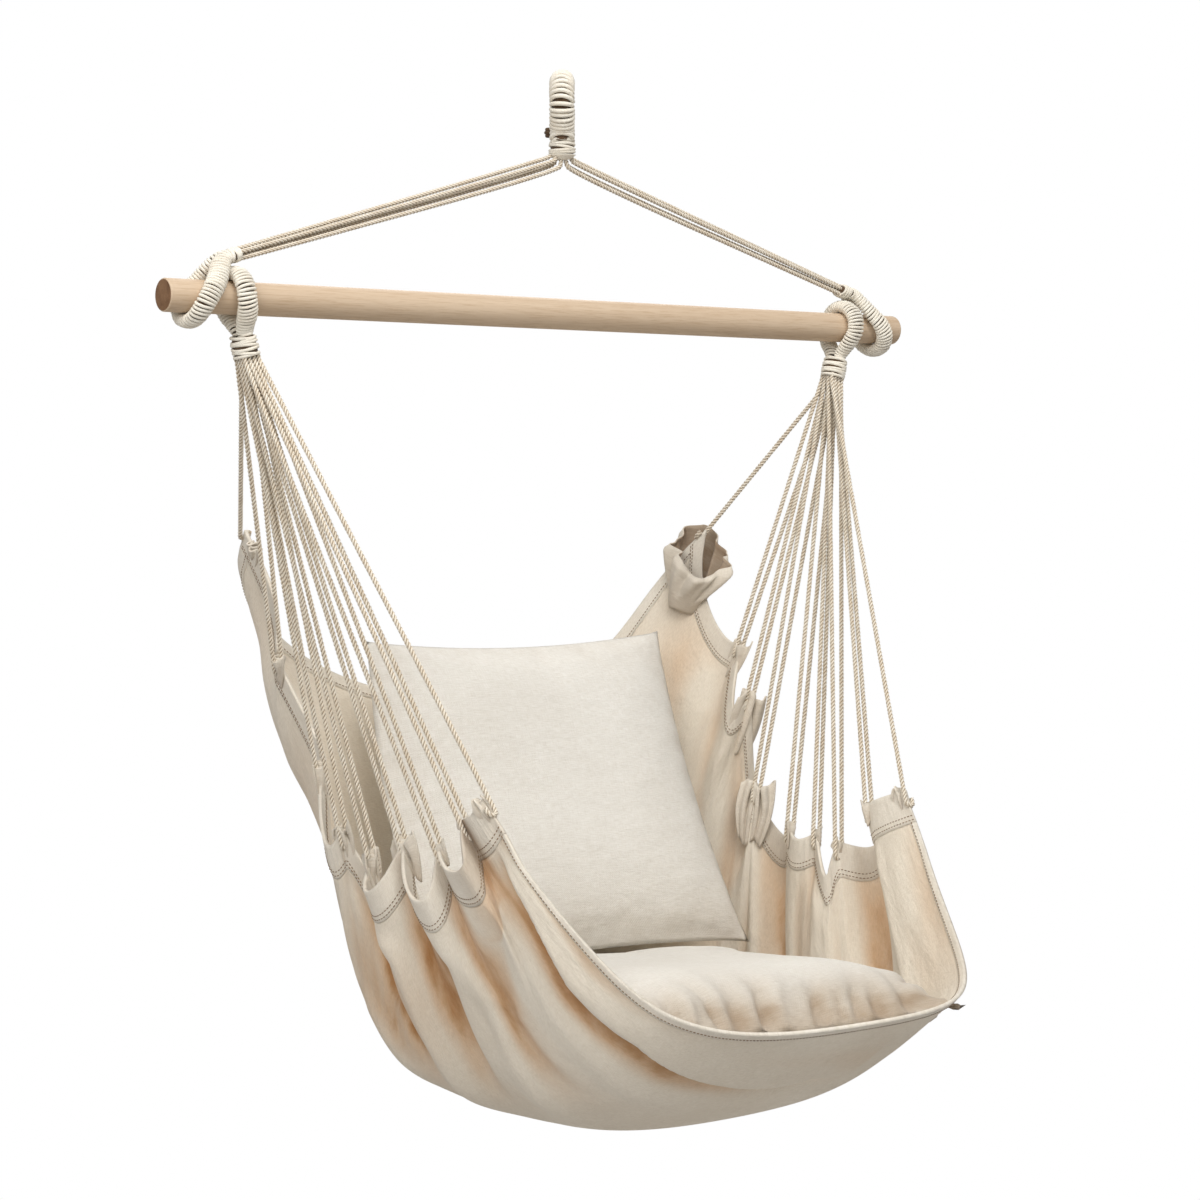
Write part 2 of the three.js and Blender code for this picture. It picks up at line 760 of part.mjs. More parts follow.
// Cushions
function pillow(width, length, thickness, bend, dish) {
  const points = [];
  const wide = cushionSteps + 1;
  for (const face of [1, -1]) {
    for (let i = 0; i < wide; i += 1) {
      for (let j = 0; j < wide; j += 1) {
        const a = -Math.cos(Math.PI * j / cushionSteps);
        const b = -Math.cos(Math.PI * i / cushionSteps);
        const crown = (1 - a ** crownPower) * (1 - b ** crownPower) * thickness / 2;
        points.push(new THREE.Vector3(
          a * (width / 2 - cushionDrawIn * (1 - b * b)),
          b * (length / 2 - cushionDrawIn * (1 - a * a)),
          face * crown + bend * b * b + dish * a * a,
        ));
      }
    }
  }
  const count = wide * wide;
  const faces = slabFaces(wide, wide, count).slice(0, cushionSteps * cushionSteps * 12);
  return bare(geometryFrom(points, faces));
}

// The least distance that a solid can move along a direction before it meets another
function travelTo(moving, fixed, direction) {
  const back = direction.clone().negate();
  return Math.min(leastHit(moving, fixed, direction), leastHit(fixed, moving, back));
}

function leastHit(source, target, direction) {
  const from = source.attributes.position;
  const ray = new THREE.Ray(new THREE.Vector3(), direction);
  const corners = bare(target).toNonIndexed().attributes.position;
  const hit = new THREE.Vector3();
  let least = Infinity;
  for (let i = 0; i < from.count; i += 1) {
    ray.origin.fromBufferAttribute(from, i);
    for (let j = 0; j < corners.count; j += 3) {
      const a = new THREE.Vector3().fromBufferAttribute(corners, j);
      const b = new THREE.Vector3().fromBufferAttribute(corners, j + 1);
      const c = new THREE.Vector3().fromBufferAttribute(corners, j + 2);
      if (ray.intersectTriangle(a, b, c, false, hit)) {
        least = Math.min(least, hit.distanceTo(ray.origin));
      }
    }
  }
  return least;
}

// Moves a solid along a direction until only the gap is left to what carries it
function seat(moving, carriers, direction, gap) {
  const travel = Math.min(...carriers.map(fixed => travelTo(moving, fixed, direction))) - gap;
  return moving.translate(direction.x * travel, direction.y * travel, direction.z * travel);
}

function seatCushion(carriers) {
  const cushion = pillow(
    seatCushionWidth, seatCushionDepth, seatCushionThickness, seatCushionBend, seatCushionDish,
  );
  cushion.rotateX(seatCushionTilt).rotateY(seatCushionRoll);
  cushion.translate(0, -seatCushionFromBar, -cushionStart);
  return seat(cushion, carriers, new THREE.Vector3(0, 0, -1), cushionGap);
}

function backCushion(panel, below) {
  const cushion = pillow(
    backCushionWidth, backCushionHeight, backCushionThickness, backCushionBend, backCushionDish,
  );
  const upright = Math.PI / 2 - backCushionLean;
  cushion.rotateX(upright);
  cushion.translate(backCushionAside, -backCushionFromBar, -cushionStart);
  const down = new THREE.Vector3(0, -Math.cos(upright), -Math.sin(upright));
  const back = new THREE.Vector3(0, Math.sin(upright), -Math.cos(upright));
  seat(cushion, [below], down, cushionGap);
  return seat(cushion, [panel, below], back, cushionGap);
}

function makeSeat() {
  const group = new THREE.Group();
  for (const side of sides) {
    const name = sideNames.get(side);
    group.add(...eye(`lower_eye_${name}`, lowerEyeCurve(side), outwardFromBar, [0.14, 0.86]));
    group.add(mesh(`lower_collar_${name}`, collar(
      onLowerEye(side, 0, -lowerEyeReach).addScaledVector(neckAlong(side), touchGap),
      neckAlong(side),
      new THREE.Vector3(0, 1, 0),
      lowerCollarHeight,
      [lowerCollarTopWidth, lowerCollarTopDepth],
      [lowerCollarFootDiameter, lowerCollarFootDiameter],
    ), 'rope'));
    for (let i = 0; i < holeCount; i += 1) {
      const cord = cordAlong(fanRoute(side, i), cordDiameter, cordSides);
      group.add(mesh(`fan_cord_${name}_${i + 1}`, cord, 'cord'));
    }
    group.add(mesh(`side_hem_${name}`, sideHem(side), 'canvas'));
  }
  const panel = sheet(panelAcross, innerStations);
  const frontHem = sheet(panelAcross, [1 - endHemShare, 1]);
  const cushion = seatCushion([panel, frontHem]);
  group.add(mesh('seat_fabric', panel, 'canvas'));
  group.add(mesh('rear_hem', sheet(panelAcross, [0, endHemShare]), 'canvas'));
  group.add(mesh('front_hem', frontHem, 'canvas'));
  group.add(mesh('seat_cushion', cushion, 'cushion'));
  group.add(mesh('back_cushion', backCushion(panel, cushion), 'cushion'));
  return group;
}

const chair = new THREE.Group();
const belowHook = new THREE.Group();
belowHook.position.z = -hookToBar;
belowHook.add(makeSpreader(), makeSeat());
chair.add(makeHanger(), belowHook);

export default chair;
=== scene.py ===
import json
import math

import bpy
import numpy as np
from mathutils import Matrix, Vector
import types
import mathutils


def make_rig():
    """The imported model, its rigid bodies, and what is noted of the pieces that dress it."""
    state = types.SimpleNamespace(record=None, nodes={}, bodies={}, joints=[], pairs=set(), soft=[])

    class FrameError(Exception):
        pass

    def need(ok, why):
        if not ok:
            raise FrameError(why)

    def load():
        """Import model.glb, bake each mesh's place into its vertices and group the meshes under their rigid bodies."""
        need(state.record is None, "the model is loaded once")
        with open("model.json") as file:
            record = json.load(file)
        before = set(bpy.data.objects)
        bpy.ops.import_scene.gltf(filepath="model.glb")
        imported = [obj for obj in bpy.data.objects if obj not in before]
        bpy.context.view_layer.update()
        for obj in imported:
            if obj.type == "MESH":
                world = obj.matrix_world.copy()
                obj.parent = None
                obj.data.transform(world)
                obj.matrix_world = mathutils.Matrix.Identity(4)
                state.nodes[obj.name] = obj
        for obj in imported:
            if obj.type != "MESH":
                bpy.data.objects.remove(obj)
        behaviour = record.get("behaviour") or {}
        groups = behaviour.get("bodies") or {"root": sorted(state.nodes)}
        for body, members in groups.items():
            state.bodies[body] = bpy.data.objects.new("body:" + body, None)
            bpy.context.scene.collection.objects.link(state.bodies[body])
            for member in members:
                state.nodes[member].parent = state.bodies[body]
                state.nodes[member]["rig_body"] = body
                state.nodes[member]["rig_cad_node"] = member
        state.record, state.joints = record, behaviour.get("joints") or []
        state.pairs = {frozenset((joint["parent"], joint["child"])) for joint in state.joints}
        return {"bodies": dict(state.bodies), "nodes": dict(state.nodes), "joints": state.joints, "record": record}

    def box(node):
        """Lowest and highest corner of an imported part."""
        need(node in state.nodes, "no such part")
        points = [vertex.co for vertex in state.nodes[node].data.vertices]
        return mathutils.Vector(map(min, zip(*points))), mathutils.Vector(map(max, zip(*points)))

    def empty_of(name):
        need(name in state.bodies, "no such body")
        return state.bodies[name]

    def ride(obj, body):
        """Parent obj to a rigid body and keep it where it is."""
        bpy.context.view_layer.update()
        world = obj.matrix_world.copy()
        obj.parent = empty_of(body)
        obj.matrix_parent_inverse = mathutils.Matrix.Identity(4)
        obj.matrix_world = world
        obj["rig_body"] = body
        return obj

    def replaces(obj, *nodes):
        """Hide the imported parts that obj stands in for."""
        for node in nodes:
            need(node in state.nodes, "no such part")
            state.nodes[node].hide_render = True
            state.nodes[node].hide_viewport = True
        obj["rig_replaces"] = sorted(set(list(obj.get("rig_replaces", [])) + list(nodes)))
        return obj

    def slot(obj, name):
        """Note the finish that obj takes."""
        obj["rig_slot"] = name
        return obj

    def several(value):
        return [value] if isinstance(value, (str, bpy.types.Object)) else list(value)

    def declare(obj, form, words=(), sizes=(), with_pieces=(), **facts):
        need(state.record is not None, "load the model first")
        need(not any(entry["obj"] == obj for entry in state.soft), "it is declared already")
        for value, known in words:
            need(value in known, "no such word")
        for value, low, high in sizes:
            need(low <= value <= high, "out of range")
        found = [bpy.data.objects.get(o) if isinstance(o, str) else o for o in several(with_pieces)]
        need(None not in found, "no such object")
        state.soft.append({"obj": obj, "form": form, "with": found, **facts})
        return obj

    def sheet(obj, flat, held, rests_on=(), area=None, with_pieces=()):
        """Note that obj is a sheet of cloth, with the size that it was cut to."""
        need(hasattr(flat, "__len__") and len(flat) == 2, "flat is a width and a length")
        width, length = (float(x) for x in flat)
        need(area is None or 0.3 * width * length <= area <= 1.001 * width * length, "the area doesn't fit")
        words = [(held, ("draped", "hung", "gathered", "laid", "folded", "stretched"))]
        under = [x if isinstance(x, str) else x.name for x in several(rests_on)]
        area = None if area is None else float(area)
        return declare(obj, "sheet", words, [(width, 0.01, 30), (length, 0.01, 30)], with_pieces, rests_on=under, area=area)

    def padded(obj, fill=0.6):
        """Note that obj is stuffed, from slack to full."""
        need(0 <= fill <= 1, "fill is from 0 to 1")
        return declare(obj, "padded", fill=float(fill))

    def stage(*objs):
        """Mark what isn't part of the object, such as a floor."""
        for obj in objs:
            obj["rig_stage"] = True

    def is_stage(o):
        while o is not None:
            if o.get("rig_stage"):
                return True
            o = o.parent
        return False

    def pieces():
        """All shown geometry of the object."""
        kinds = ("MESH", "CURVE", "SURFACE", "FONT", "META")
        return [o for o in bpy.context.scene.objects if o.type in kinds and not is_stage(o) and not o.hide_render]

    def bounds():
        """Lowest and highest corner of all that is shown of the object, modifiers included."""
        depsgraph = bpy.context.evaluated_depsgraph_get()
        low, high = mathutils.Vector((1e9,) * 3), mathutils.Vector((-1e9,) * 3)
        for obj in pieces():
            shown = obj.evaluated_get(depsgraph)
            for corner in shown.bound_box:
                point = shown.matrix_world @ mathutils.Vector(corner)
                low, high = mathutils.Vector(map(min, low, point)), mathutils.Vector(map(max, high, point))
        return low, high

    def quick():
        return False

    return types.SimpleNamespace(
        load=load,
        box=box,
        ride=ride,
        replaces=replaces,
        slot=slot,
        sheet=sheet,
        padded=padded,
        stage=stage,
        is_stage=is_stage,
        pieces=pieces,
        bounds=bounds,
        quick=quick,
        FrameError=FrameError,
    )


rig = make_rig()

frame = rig.load()
cadBox = [list(corner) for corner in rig.bounds()]
rng = np.random.default_rng(7)
barHeight = -0.241  # the bar's centre line, below the hook
barLine = (0, 0, barHeight)
sides = {"left": -1, "right": 1}
white = (1, 1, 1, 1)


# Small helpers
def addThing(name, data):
    thing = bpy.data.objects.new(name, data)
    bpy.context.scene.collection.objects.link(thing)
    return thing


def addMesh(name, points, faces):
    mesh = bpy.data.meshes.new(name)
    mesh.from_pydata([tuple(map(float, p)) for p in points], [], [tuple(map(int, f)) for f in faces])
    mesh.validate()
    mesh.polygons.foreach_set("use_smooth", [True] * len(mesh.polygons))
    mesh.update()
    return addThing(name, mesh)


def addCurve(name, runs):
    data = bpy.data.curves.new(name, "CURVE")
    data.dimensions = "3D"
    for points in runs:
        spline = data.splines.new("POLY")
        spline.points.add(len(points) - 1)
        for spot, point in zip(spline.points, points):
            spot.co = (*map(float, point), 1)
    return addThing(name, data)


def declare(thing, body, slot, *nodes):
    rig.ride(thing, body)
    if nodes:
        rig.replaces(thing, *nodes)
    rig.slot(thing, slot)


def unit(vector):
    vector = np.asarray(vector, float)
    return vector / np.linalg.norm(vector, axis=-1, keepdims=True)


def mix(a, b, share):
    return a + (b - a) * share


def near(values, place):
    # one at the place's middle, falling off over its width
    middle, width = place
    return np.exp(-((values - middle) / width)**2)


def evenSteps(points, step):
    run = np.r_[0, np.cumsum(np.linalg.norm(np.diff(points, axis=0), axis=1))]
    spots = np.linspace(0, run[-1], max(2, int(run[-1] / step)) + 1)
    return np.stack([np.interp(spots, run, points[:, k]) for k in range(3)], -1)


def smoothPath(points):
    # rounds a polyline's corners
    points = np.asarray(points, float)
    for _ in range(3):
        cut = np.empty((2 * len(points) - 2, 3))
        cut[0::2] = mix(points[:-1], points[1:], 0.25)
        cut[1::2] = mix(points[:-1], points[1:], 0.75)
        points = np.vstack([points[:1], cut, points[-1:]])
    return evenSteps(points, 0.004)


def padEnds(points):
    return np.vstack([2 * points[0] - points[1], points, 2 * points[-1] - points[-2]])


def catmullRun(four, shares):
    p0, p1, p2, p3 = four
    d0, d1, d2 = (max(np.linalg.norm(b - a) ** 0.5, 1e-4) for a, b in zip(four[:-1], four[1:]))
    m1 = ((p1 - p0) / d0 - (p2 - p0) / (d0 + d1) + (p2 - p1) / d1) * d1
    m2 = ((p2 - p1) / d1 - (p3 - p1) / (d1 + d2) + (p3 - p2) / d2) * d1
    s = np.asarray(shares)[:, None]
    ahead = 3 * s**2 - 2 * s**3
    return (1 - ahead) * p1 + (s**3 - 2 * s**2 + s) * m1 + ahead * p2 + (s**3 - s**2) * m2


curveStep = 0.0012


def catmull(points):
    # centripetal Catmull-Rom through the points, in even steps
    points = np.asarray(points, float)
    padded = padEnds(points)
    shares = np.linspace(0, 1, 24, endpoint=False)
    fine = [catmullRun(padded[i:i + 4], shares) for i in range(len(points) - 1)]
    return evenSteps(np.vstack([*fine, points[-1:]]), curveStep)


def ringFaces(rings, around, first=0, flip=False):
    # quads between rings of points
    faces = []
    for i in range(rings - 1):
        for k in range(around):
            a = first + i * around + k
            b = first + i * around + (k + 1) % around
            faces.append((a, a + around, b + around, b) if flip else (a, b, b + around, a + around))
    return faces


def poleFaces(pole, first, around, flip=False):
    # triangles from one point to a ring of points
    faces = []
    for k in range(around):
        a, b = first + k, first + (k + 1) % around
        faces.append((pole, b, a) if flip else (pole, a, b))
    return faces


def joinPieces(name, things):
    points, faces, skins, marks = [], [], [], []
    for thing in things:
        mesh = thing.data
        for skin in mesh.materials:
            if skin not in skins:
                skins.append(skin)
        base = len(points)
        points += [tuple(v.co) for v in mesh.vertices]
        for polygon in mesh.polygons:
            faces.append([base + v for v in polygon.vertices])
            marks.append(skins.index(mesh.materials[polygon.material_index]))
    for thing in things:
        bpy.data.objects.remove(thing)
    joined = addMesh(name, points, faces)
    for skin in skins:
        joined.data.materials.append(skin)
    joined.data.polygons.foreach_set("material_index", marks)
    return joined


# Node helpers
def addNode(tree, kind, inputs=None, **settings):
    node = tree.nodes.new(kind)
    for name, value in settings.items():
        setattr(node, name, value)
    for key, value in (inputs or {}).items():
        if isinstance(value, bpy.types.NodeSocket):
            tree.links.new(value, node.inputs[key])
        else:
            node.inputs[key].default_value = value
    return node


def calc(tree, operation, *values):
    return addNode(tree, "ShaderNodeMath", dict(enumerate(values)), operation=operation).outputs[0]


def treeWith(name, inputs):
    tree = bpy.data.node_groups.new(name, "GeometryNodeTree")
    tree.interface.new_socket("Geometry", in_out="INPUT", socket_type="NodeSocketGeometry")
    for label, value in inputs.items():
        kind = "NodeSocketMaterial" if isinstance(value, bpy.types.Material) else "NodeSocketFloat"
        socket = tree.interface.new_socket(label, in_out="INPUT", socket_type=kind)
        socket.default_value = value
    tree.interface.new_socket("Geometry", in_out="OUTPUT", socket_type="NodeSocketGeometry")
    return tree, addNode(tree, "NodeGroupInput").outputs


def endTree(tree, geometry, given):
    real = addNode(tree, "GeometryNodeRealizeInstances", {0: geometry})
    shade = addNode(tree, "GeometryNodeSetShadeSmooth", {"Geometry": real.outputs[0], "Shade Smooth": True})
    inputs = {"Geometry": shade.outputs[0], "Material": given["Material"]}
    paint = addNode(tree, "GeometryNodeSetMaterial", inputs)
    addNode(tree, "NodeGroupOutput", {"Geometry": paint.outputs[0]})
    return tree


def reshaped(tree, geometry, position):
    inputs = {"Geometry": geometry, "Position": position}
    return addNode(tree, "GeometryNodeSetPosition", inputs).outputs[0]


def sweptTube(tree, curve, section, caps=False):
    inputs = {"Curve": curve, "Profile Curve": section, "Fill Caps": caps}
    return addNode(tree, "GeometryNodeCurveToMesh", inputs).outputs[0]


def circleNode(tree, around, radius):
    inputs = {"Resolution": around, "Radius": radius}
    return addNode(tree, "GeometryNodeCurvePrimitiveCircle", inputs).outputs[0]


def evenPoints(tree, curve, length):
    inputs = {"Curve": curve, "Length": length}
    return addNode(tree, "GeometryNodeResampleCurve", inputs, mode="LENGTH").outputs[0]


def namedVector(tree, name):
    node = addNode(tree, "GeometryNodeInputNamedAttribute", {"Name": name}, data_type="FLOAT_VECTOR")
    return node.outputs["Attribute"]


def placedCopies(tree, points, copy, rotation, scale):
    inputs = {"Points": points, "Instance": copy, "Rotation": rotation, "Scale": scale}
    return addNode(tree, "GeometryNodeInstanceOnPoints", inputs).outputs[0]


def storeGroove(tree, geometry, value):
    # how deep a point lies between the strands or wraps, for the painted shade in the skins
    inputs = {"Geometry": geometry, "Name": "groove", "Value": value}
    node = addNode(tree, "GeometryNodeStoreNamedAttribute", inputs, data_type="FLOAT", domain="POINT")
    return node.outputs[0]


def bakeTree(source, tree, values, name):
    # applies a tree to an object, and gives the plain mesh that comes out
    modifier = source.modifiers.new(tree.name, "NODES")
    modifier.node_group = tree
    for item in tree.interface.items_tree:
        if item.in_out == "INPUT" and item.name in values:
            modifier[item.identifier] = values[item.name]
    bpy.context.view_layer.update()
    made = source.evaluated_get(bpy.context.evaluated_depsgraph_get())
    mesh = bpy.data.meshes.new_from_object(made)
    bpy.data.objects.remove(source)
    mesh.name = name
    return addThing(name, mesh)


# Camera and studio
camera = {"place": (-1.9589, -2.5748, -0.4452), "heading": (0.6157, 0.7880), "down": 1.962, "lens": 87.84}
studio = {
    "floor": -1.55, "floorSize": 40.0, "floorColour": (0.50, 0.49, 0.48, 1),
    "world": 0.43, "worldColour": (1.0, 0.978, 0.95, 1), "target": (0, -0.1, -0.65),
}
lamps = {
    "key": {"place": (-0.4, -2.1, 2.3), "size": 2.0, "power": 73, "colour": (1.0, 0.985, 0.965)},
    "side": {"place": (-2.6, -1.6, 0.9), "size": 1.8, "power": 44, "colour": (1.0, 0.985, 0.97)},
    "rim": {"place": (1.6, 2.2, 1.6), "size": 1.6, "power": 34, "colour": (1.0, 0.98, 0.95)},
}


def makeCamera():
    data = bpy.data.cameras.new("photoCamera")
    data.lens = camera["lens"]
    data.sensor_width = 36
    data.clip_end = 100
    thing = addThing("photoCamera", data)
    down = math.radians(camera["down"])
    ahead = Vector((*camera["heading"], -math.tan(down))).normalized()
    thing.location = camera["place"]
    thing.rotation_mode = "QUATERNION"
    thing.rotation_quaternion = ahead.to_track_quat("-Z", "Y")
    bpy.context.scene.camera = thing


def makeLamps():
    for name, lamp in lamps.items():
        data = bpy.data.lights.new(name, "AREA")
        data.energy = lamp["power"]
        data.size = lamp["size"]
        data.color = lamp["colour"]
        thing = addThing(name, data)
        thing.location = lamp["place"]
        ahead = Vector(studio["target"]) - thing.location
        thing.rotation_euler = ahead.to_track_quat("-Z", "Y").to_euler()


def emptyTree(holder):
    holder.use_nodes = True
    holder.node_tree.nodes.clear()
    return holder.node_tree


def splitRays(tree, output, lit, seen):
    # one shader lights the chair, the other is what the camera itself sees
    path = addNode(tree, "ShaderNodeLightPath")
    inputs = {0: path.outputs["Is Camera Ray"], 1: lit.outputs[0], 2: seen.outputs[0]}
    both = addNode(tree, "ShaderNodeMixShader", inputs)
    addNode(tree, output, {"Surface": both.outputs[0]})


def makeSurroundings():
    world = bpy.data.worlds.new("studioWorld")
    bpy.context.scene.world = world
    tree = emptyTree(world)
    lit = addNode(tree, "ShaderNodeBackground", {"Color": studio["worldColour"], "Strength": studio["world"]})
    splitRays(tree, "ShaderNodeOutputWorld", lit, addNode(tree, "ShaderNodeBackground", {"Color": white}))
    turns = ((-1, -1), (1, -1), (1, 1), (-1, 1))
    corners = [(x * studio["floorSize"], y * studio["floorSize"], studio["floor"]) for x, y in turns]
    floor = addMesh("studioFloor", corners, [(0, 1, 2, 3)])
    skin = bpy.data.materials.new("paleFloor")
    tree = emptyTree(skin)
    lit = addNode(tree, "ShaderNodeBsdfDiffuse", {"Color": studio["floorColour"]})
    splitRays(tree, "ShaderNodeOutputMaterial", lit, addNode(tree, "ShaderNodeEmission"))
    floor.data.materials.append(skin)
    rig.stage(floor)


# Finishes
def srgb(*values):
    def line(c):
        c /= 255
        return c / 12.92 if c <= 0.04045 else ((c + 0.055) / 1.055) ** 2.4
    return (*map(line, values), 1)


def newSkin(name, roughness, sheen=0.0):
    skin = bpy.data.materials.new(name)
    skin.use_nodes = True
    tree = skin.node_tree
    face = tree.nodes["Principled BSDF"]
    face.inputs["Roughness"].default_value = roughness
    face.inputs["Specular IOR Level"].default_value = 0.25
    face.inputs["Sheen Weight"].default_value = sheen
    face.inputs["Sheen Roughness"].default_value = 0.6
    return skin, tree, face, addNode(tree, "ShaderNodeTexCoord").outputs["Object"]


def noise(tree, vector, scale, detail=3.0, roughness=0.55):
    inputs = {"Vector": vector, "Scale": scale, "Detail": detail, "Roughness": roughness}
    return addNode(tree, "ShaderNodeTexNoise", inputs).outputs["Fac"]


def stretched(tree, vector, scale):
    return addNode(tree, "ShaderNodeMapping", {"Vector": vector, "Scale": scale}).outputs[0]


def attribute(tree, name):
    return addNode(tree, "ShaderNodeAttribute", attribute_name=name).outputs["Fac"]


def ramp(tree, factor, low, first, high, second):
    node = addNode(tree, "ShaderNodeValToRGB", {"Fac": factor})
    marks = node.color_ramp.elements
    for mark, place, colour in zip(marks, (low, high), (first, second)):
        mark.position = place
        mark.color = colour
    return node.outputs["Color"]


def mixColour(tree, factor, first, second, blend="MULTIPLY"):
    inputs = {"Factor": factor, "A": first, "B": second}
    return addNode(tree, "ShaderNodeMix", inputs, data_type="RGBA", blend_type=blend).outputs["Result"]


def dressFace(tree, face, colour, heights):
    # the colour, and a chain of bumps given as (height, strength, distance)
    tree.links.new(colour, face.inputs["Base Color"])
    last = None
    for height, strength, distance in heights:
        inputs = {"Height": height, "Strength": strength, "Distance": distance}
        if last:
            inputs["Normal"] = last
        last = addNode(tree, "ShaderNodeBump", inputs).outputs["Normal"]
    tree.links.new(last, face.inputs["Normal"])


# two of these tones serve the painted shade of the folds: one breaks it up in soft patches, one darkens the deepest
# folds
clothFinish = {
    "threadsPerMetre": 780, "weave": 0.45, "stainScale": 7.0, "fuzzScale": 420.0,
    "slubScale": 90, "slubLength": 14, "creaseScale": 16, "creaseLength": 2.6,
    "weftTone": (0.86, 0.84, 0.81, 1), "warpTone": (0.90, 0.885, 0.86, 1),
    "shadeBreakupTone": (0.72, 0.72, 0.72, 1), "deepShadeTone": (0.62, 0.50, 0.40, 1),
}


def wovenSkin(name, light, dark, paintedGlowAndShadeTone):
    # plain weave on the cloth's own UV map in metres, with slubs and soft stains, and a warm painted glow and painted
    # shade in the folds
    skin, tree, face, place = newSkin(name, 0.92, 0.15)
    uv = addNode(tree, "ShaderNodeUVMap", uv_map="cloth").outputs["UV"]
    split = addNode(tree, "ShaderNodeSeparateXYZ", {0: uv}).outputs
    turns = clothFinish["threadsPerMetre"] * math.pi
    warp, weft = (calc(tree, "SINE", calc(tree, "MULTIPLY", split[axis], turns)) for axis in "XY")
    weave = calc(tree, "MULTIPLY", warp, weft)
    long = clothFinish["slubLength"]
    slub = noise(tree, stretched(tree, uv, (1, long, 1)), clothFinish["slubScale"], 2.0)
    warpSlub = noise(tree, stretched(tree, uv, (long, 1, 1)), clothFinish["slubScale"], 2.0)
    soft = noise(tree, stretched(tree, uv, (1, clothFinish["creaseLength"], 1)), clothFinish["creaseScale"])
    stain = noise(tree, place, clothFinish["stainScale"], 4.0)
    fuzz = noise(tree, place, clothFinish["fuzzScale"], 2.0)
    base = ramp(tree, stain, 0.35, dark, 0.65, light)
    slubTone = ramp(tree, slub, 0.32, clothFinish["weftTone"], 0.62, white)
    base = mixColour(tree, 0.8, base, slubTone)
    base = mixColour(tree, 0.7, base, ramp(tree, warpSlub, 0.34, clothFinish["warpTone"], 0.6, white))
    # painted glow and shade: the fold attribute, broken up in soft patches, mixes in the glow-and-shade tone, and the
    # deepest folds get a darker painted shade
    shadePatch = ramp(tree, soft, 0.3, clothFinish["shadeBreakupTone"], 0.7, white)
    share = calc(tree, "MULTIPLY", attribute(tree, "fold"), shadePatch)
    base = mixColour(tree, share, base, mixColour(tree, 1.0, paintedGlowAndShadeTone, slubTone), "MIX")
    base = mixColour(tree, 1.0, base, ramp(tree, share, 0.55, white, 1.0, clothFinish["deepShadeTone"]))
    dressFace(tree, face, base, [
        (weave, clothFinish["weave"], 0.0003), (slub, 0.5, 0.0009), (warpSlub, 0.4, 0.0009),
        (soft, 0.5, 0.006), (fuzz, 0.3, 0.0003),
    ])
    return skin


def ropeSkin(name, light, dark, fibre):
    # twisted fibres, with painted shade in the grooves between strands
    skin, tree, face, place = newSkin(name, 0.95, 0.2)
    base = ramp(tree, noise(tree, place, 60.0), 0.35, dark, 0.65, light)
    hair = noise(tree, place, fibre, 4.0, 0.7)
    base = mixColour(tree, 0.75, base, ramp(tree, hair, 0.32, (0.74, 0.69, 0.61, 1), 0.6, white))
    paintedGrooveShade = ramp(tree, attribute(tree, "groove"), 0.45, white, 0.98, (0.36, 0.28, 0.19, 1))
    base = mixColour(tree, 1.0, base, paintedGrooveShade)
    dressFace(tree, face, base, [(hair, 0.5, 0.0006)])
    return skin


def beechSkin(name, grain, broadTones, poreTone):
    # pale beech: long fine pores along the bar, rings on the sawn ends
    skin, tree, face, place = newSkin(name, 0.55)
    along = stretched(tree, place, (grain, 1, 1))
    base = ramp(tree, noise(tree, along, 55.0, 4.0, 0.6), 0.3, broadTones[0], 0.7, broadTones[1])
    pores = noise(tree, along, 900.0, 3.0, 0.7)
    low, colour, high = poreTone
    base = mixColour(tree, 0.8, base, ramp(tree, pores, low, colour, high, white))
    dressFace(tree, face, base, [(pores, 0.2, 0.0003)])
    return skin


# the third tone of each skin is painted light: a warm painted glow and shade in the canvas folds, painted shade in the
# hem folds and in the cushion creases
canvasSkin = wovenSkin("naturalCanvas", srgb(249, 241, 226), srgb(239, 229, 212), srgb(208, 154, 88))
hemSkin = wovenSkin("hemCanvas", srgb(248, 242, 230), srgb(236, 228, 214), srgb(158, 134, 106))
cushionSkin = wovenSkin("cushionCover", srgb(240, 238, 232), srgb(233, 230, 223), srgb(176, 156, 130))
ropeWrapSkin = ropeSkin("whippingCord", srgb(252, 249, 239), srgb(243, 237, 224), 1500)
cordSkin = ropeSkin("twistedCord", srgb(250, 244, 231), srgb(238, 227, 209), 1700)
coreSkin = ropeSkin("ropeCore", srgb(104, 82, 60), srgb(78, 58, 40), 900)
# the seam thread is made dark, as a painted shade of the seam's groove line
threadWithSeamShadeSkin = ropeSkin("seamThread", srgb(158, 134, 106), srgb(134, 110, 84), 2500)
beech = beechSkin(
    "beechSide", 0.035, (srgb(200, 176, 149), srgb(215, 194, 169)), (0.38, (0.84, 0.79, 0.73, 1), 0.5),
)
# the sawn ends are much darker: darker end grain, and painted shade of the ends
beechEndGrainAndShade = beechSkin(
    "beechEndGrainAndShade", 1, (srgb(110, 80, 56), srgb(150, 116, 86)), (0.35, (0.72, 0.66, 0.6, 1), 0.6),
)
print("finishes made")


# Spreader bar
bar = {"length": 1.0, "diameter": 0.034, "edgeRound": 0.002, "around": 96, "along": 60}


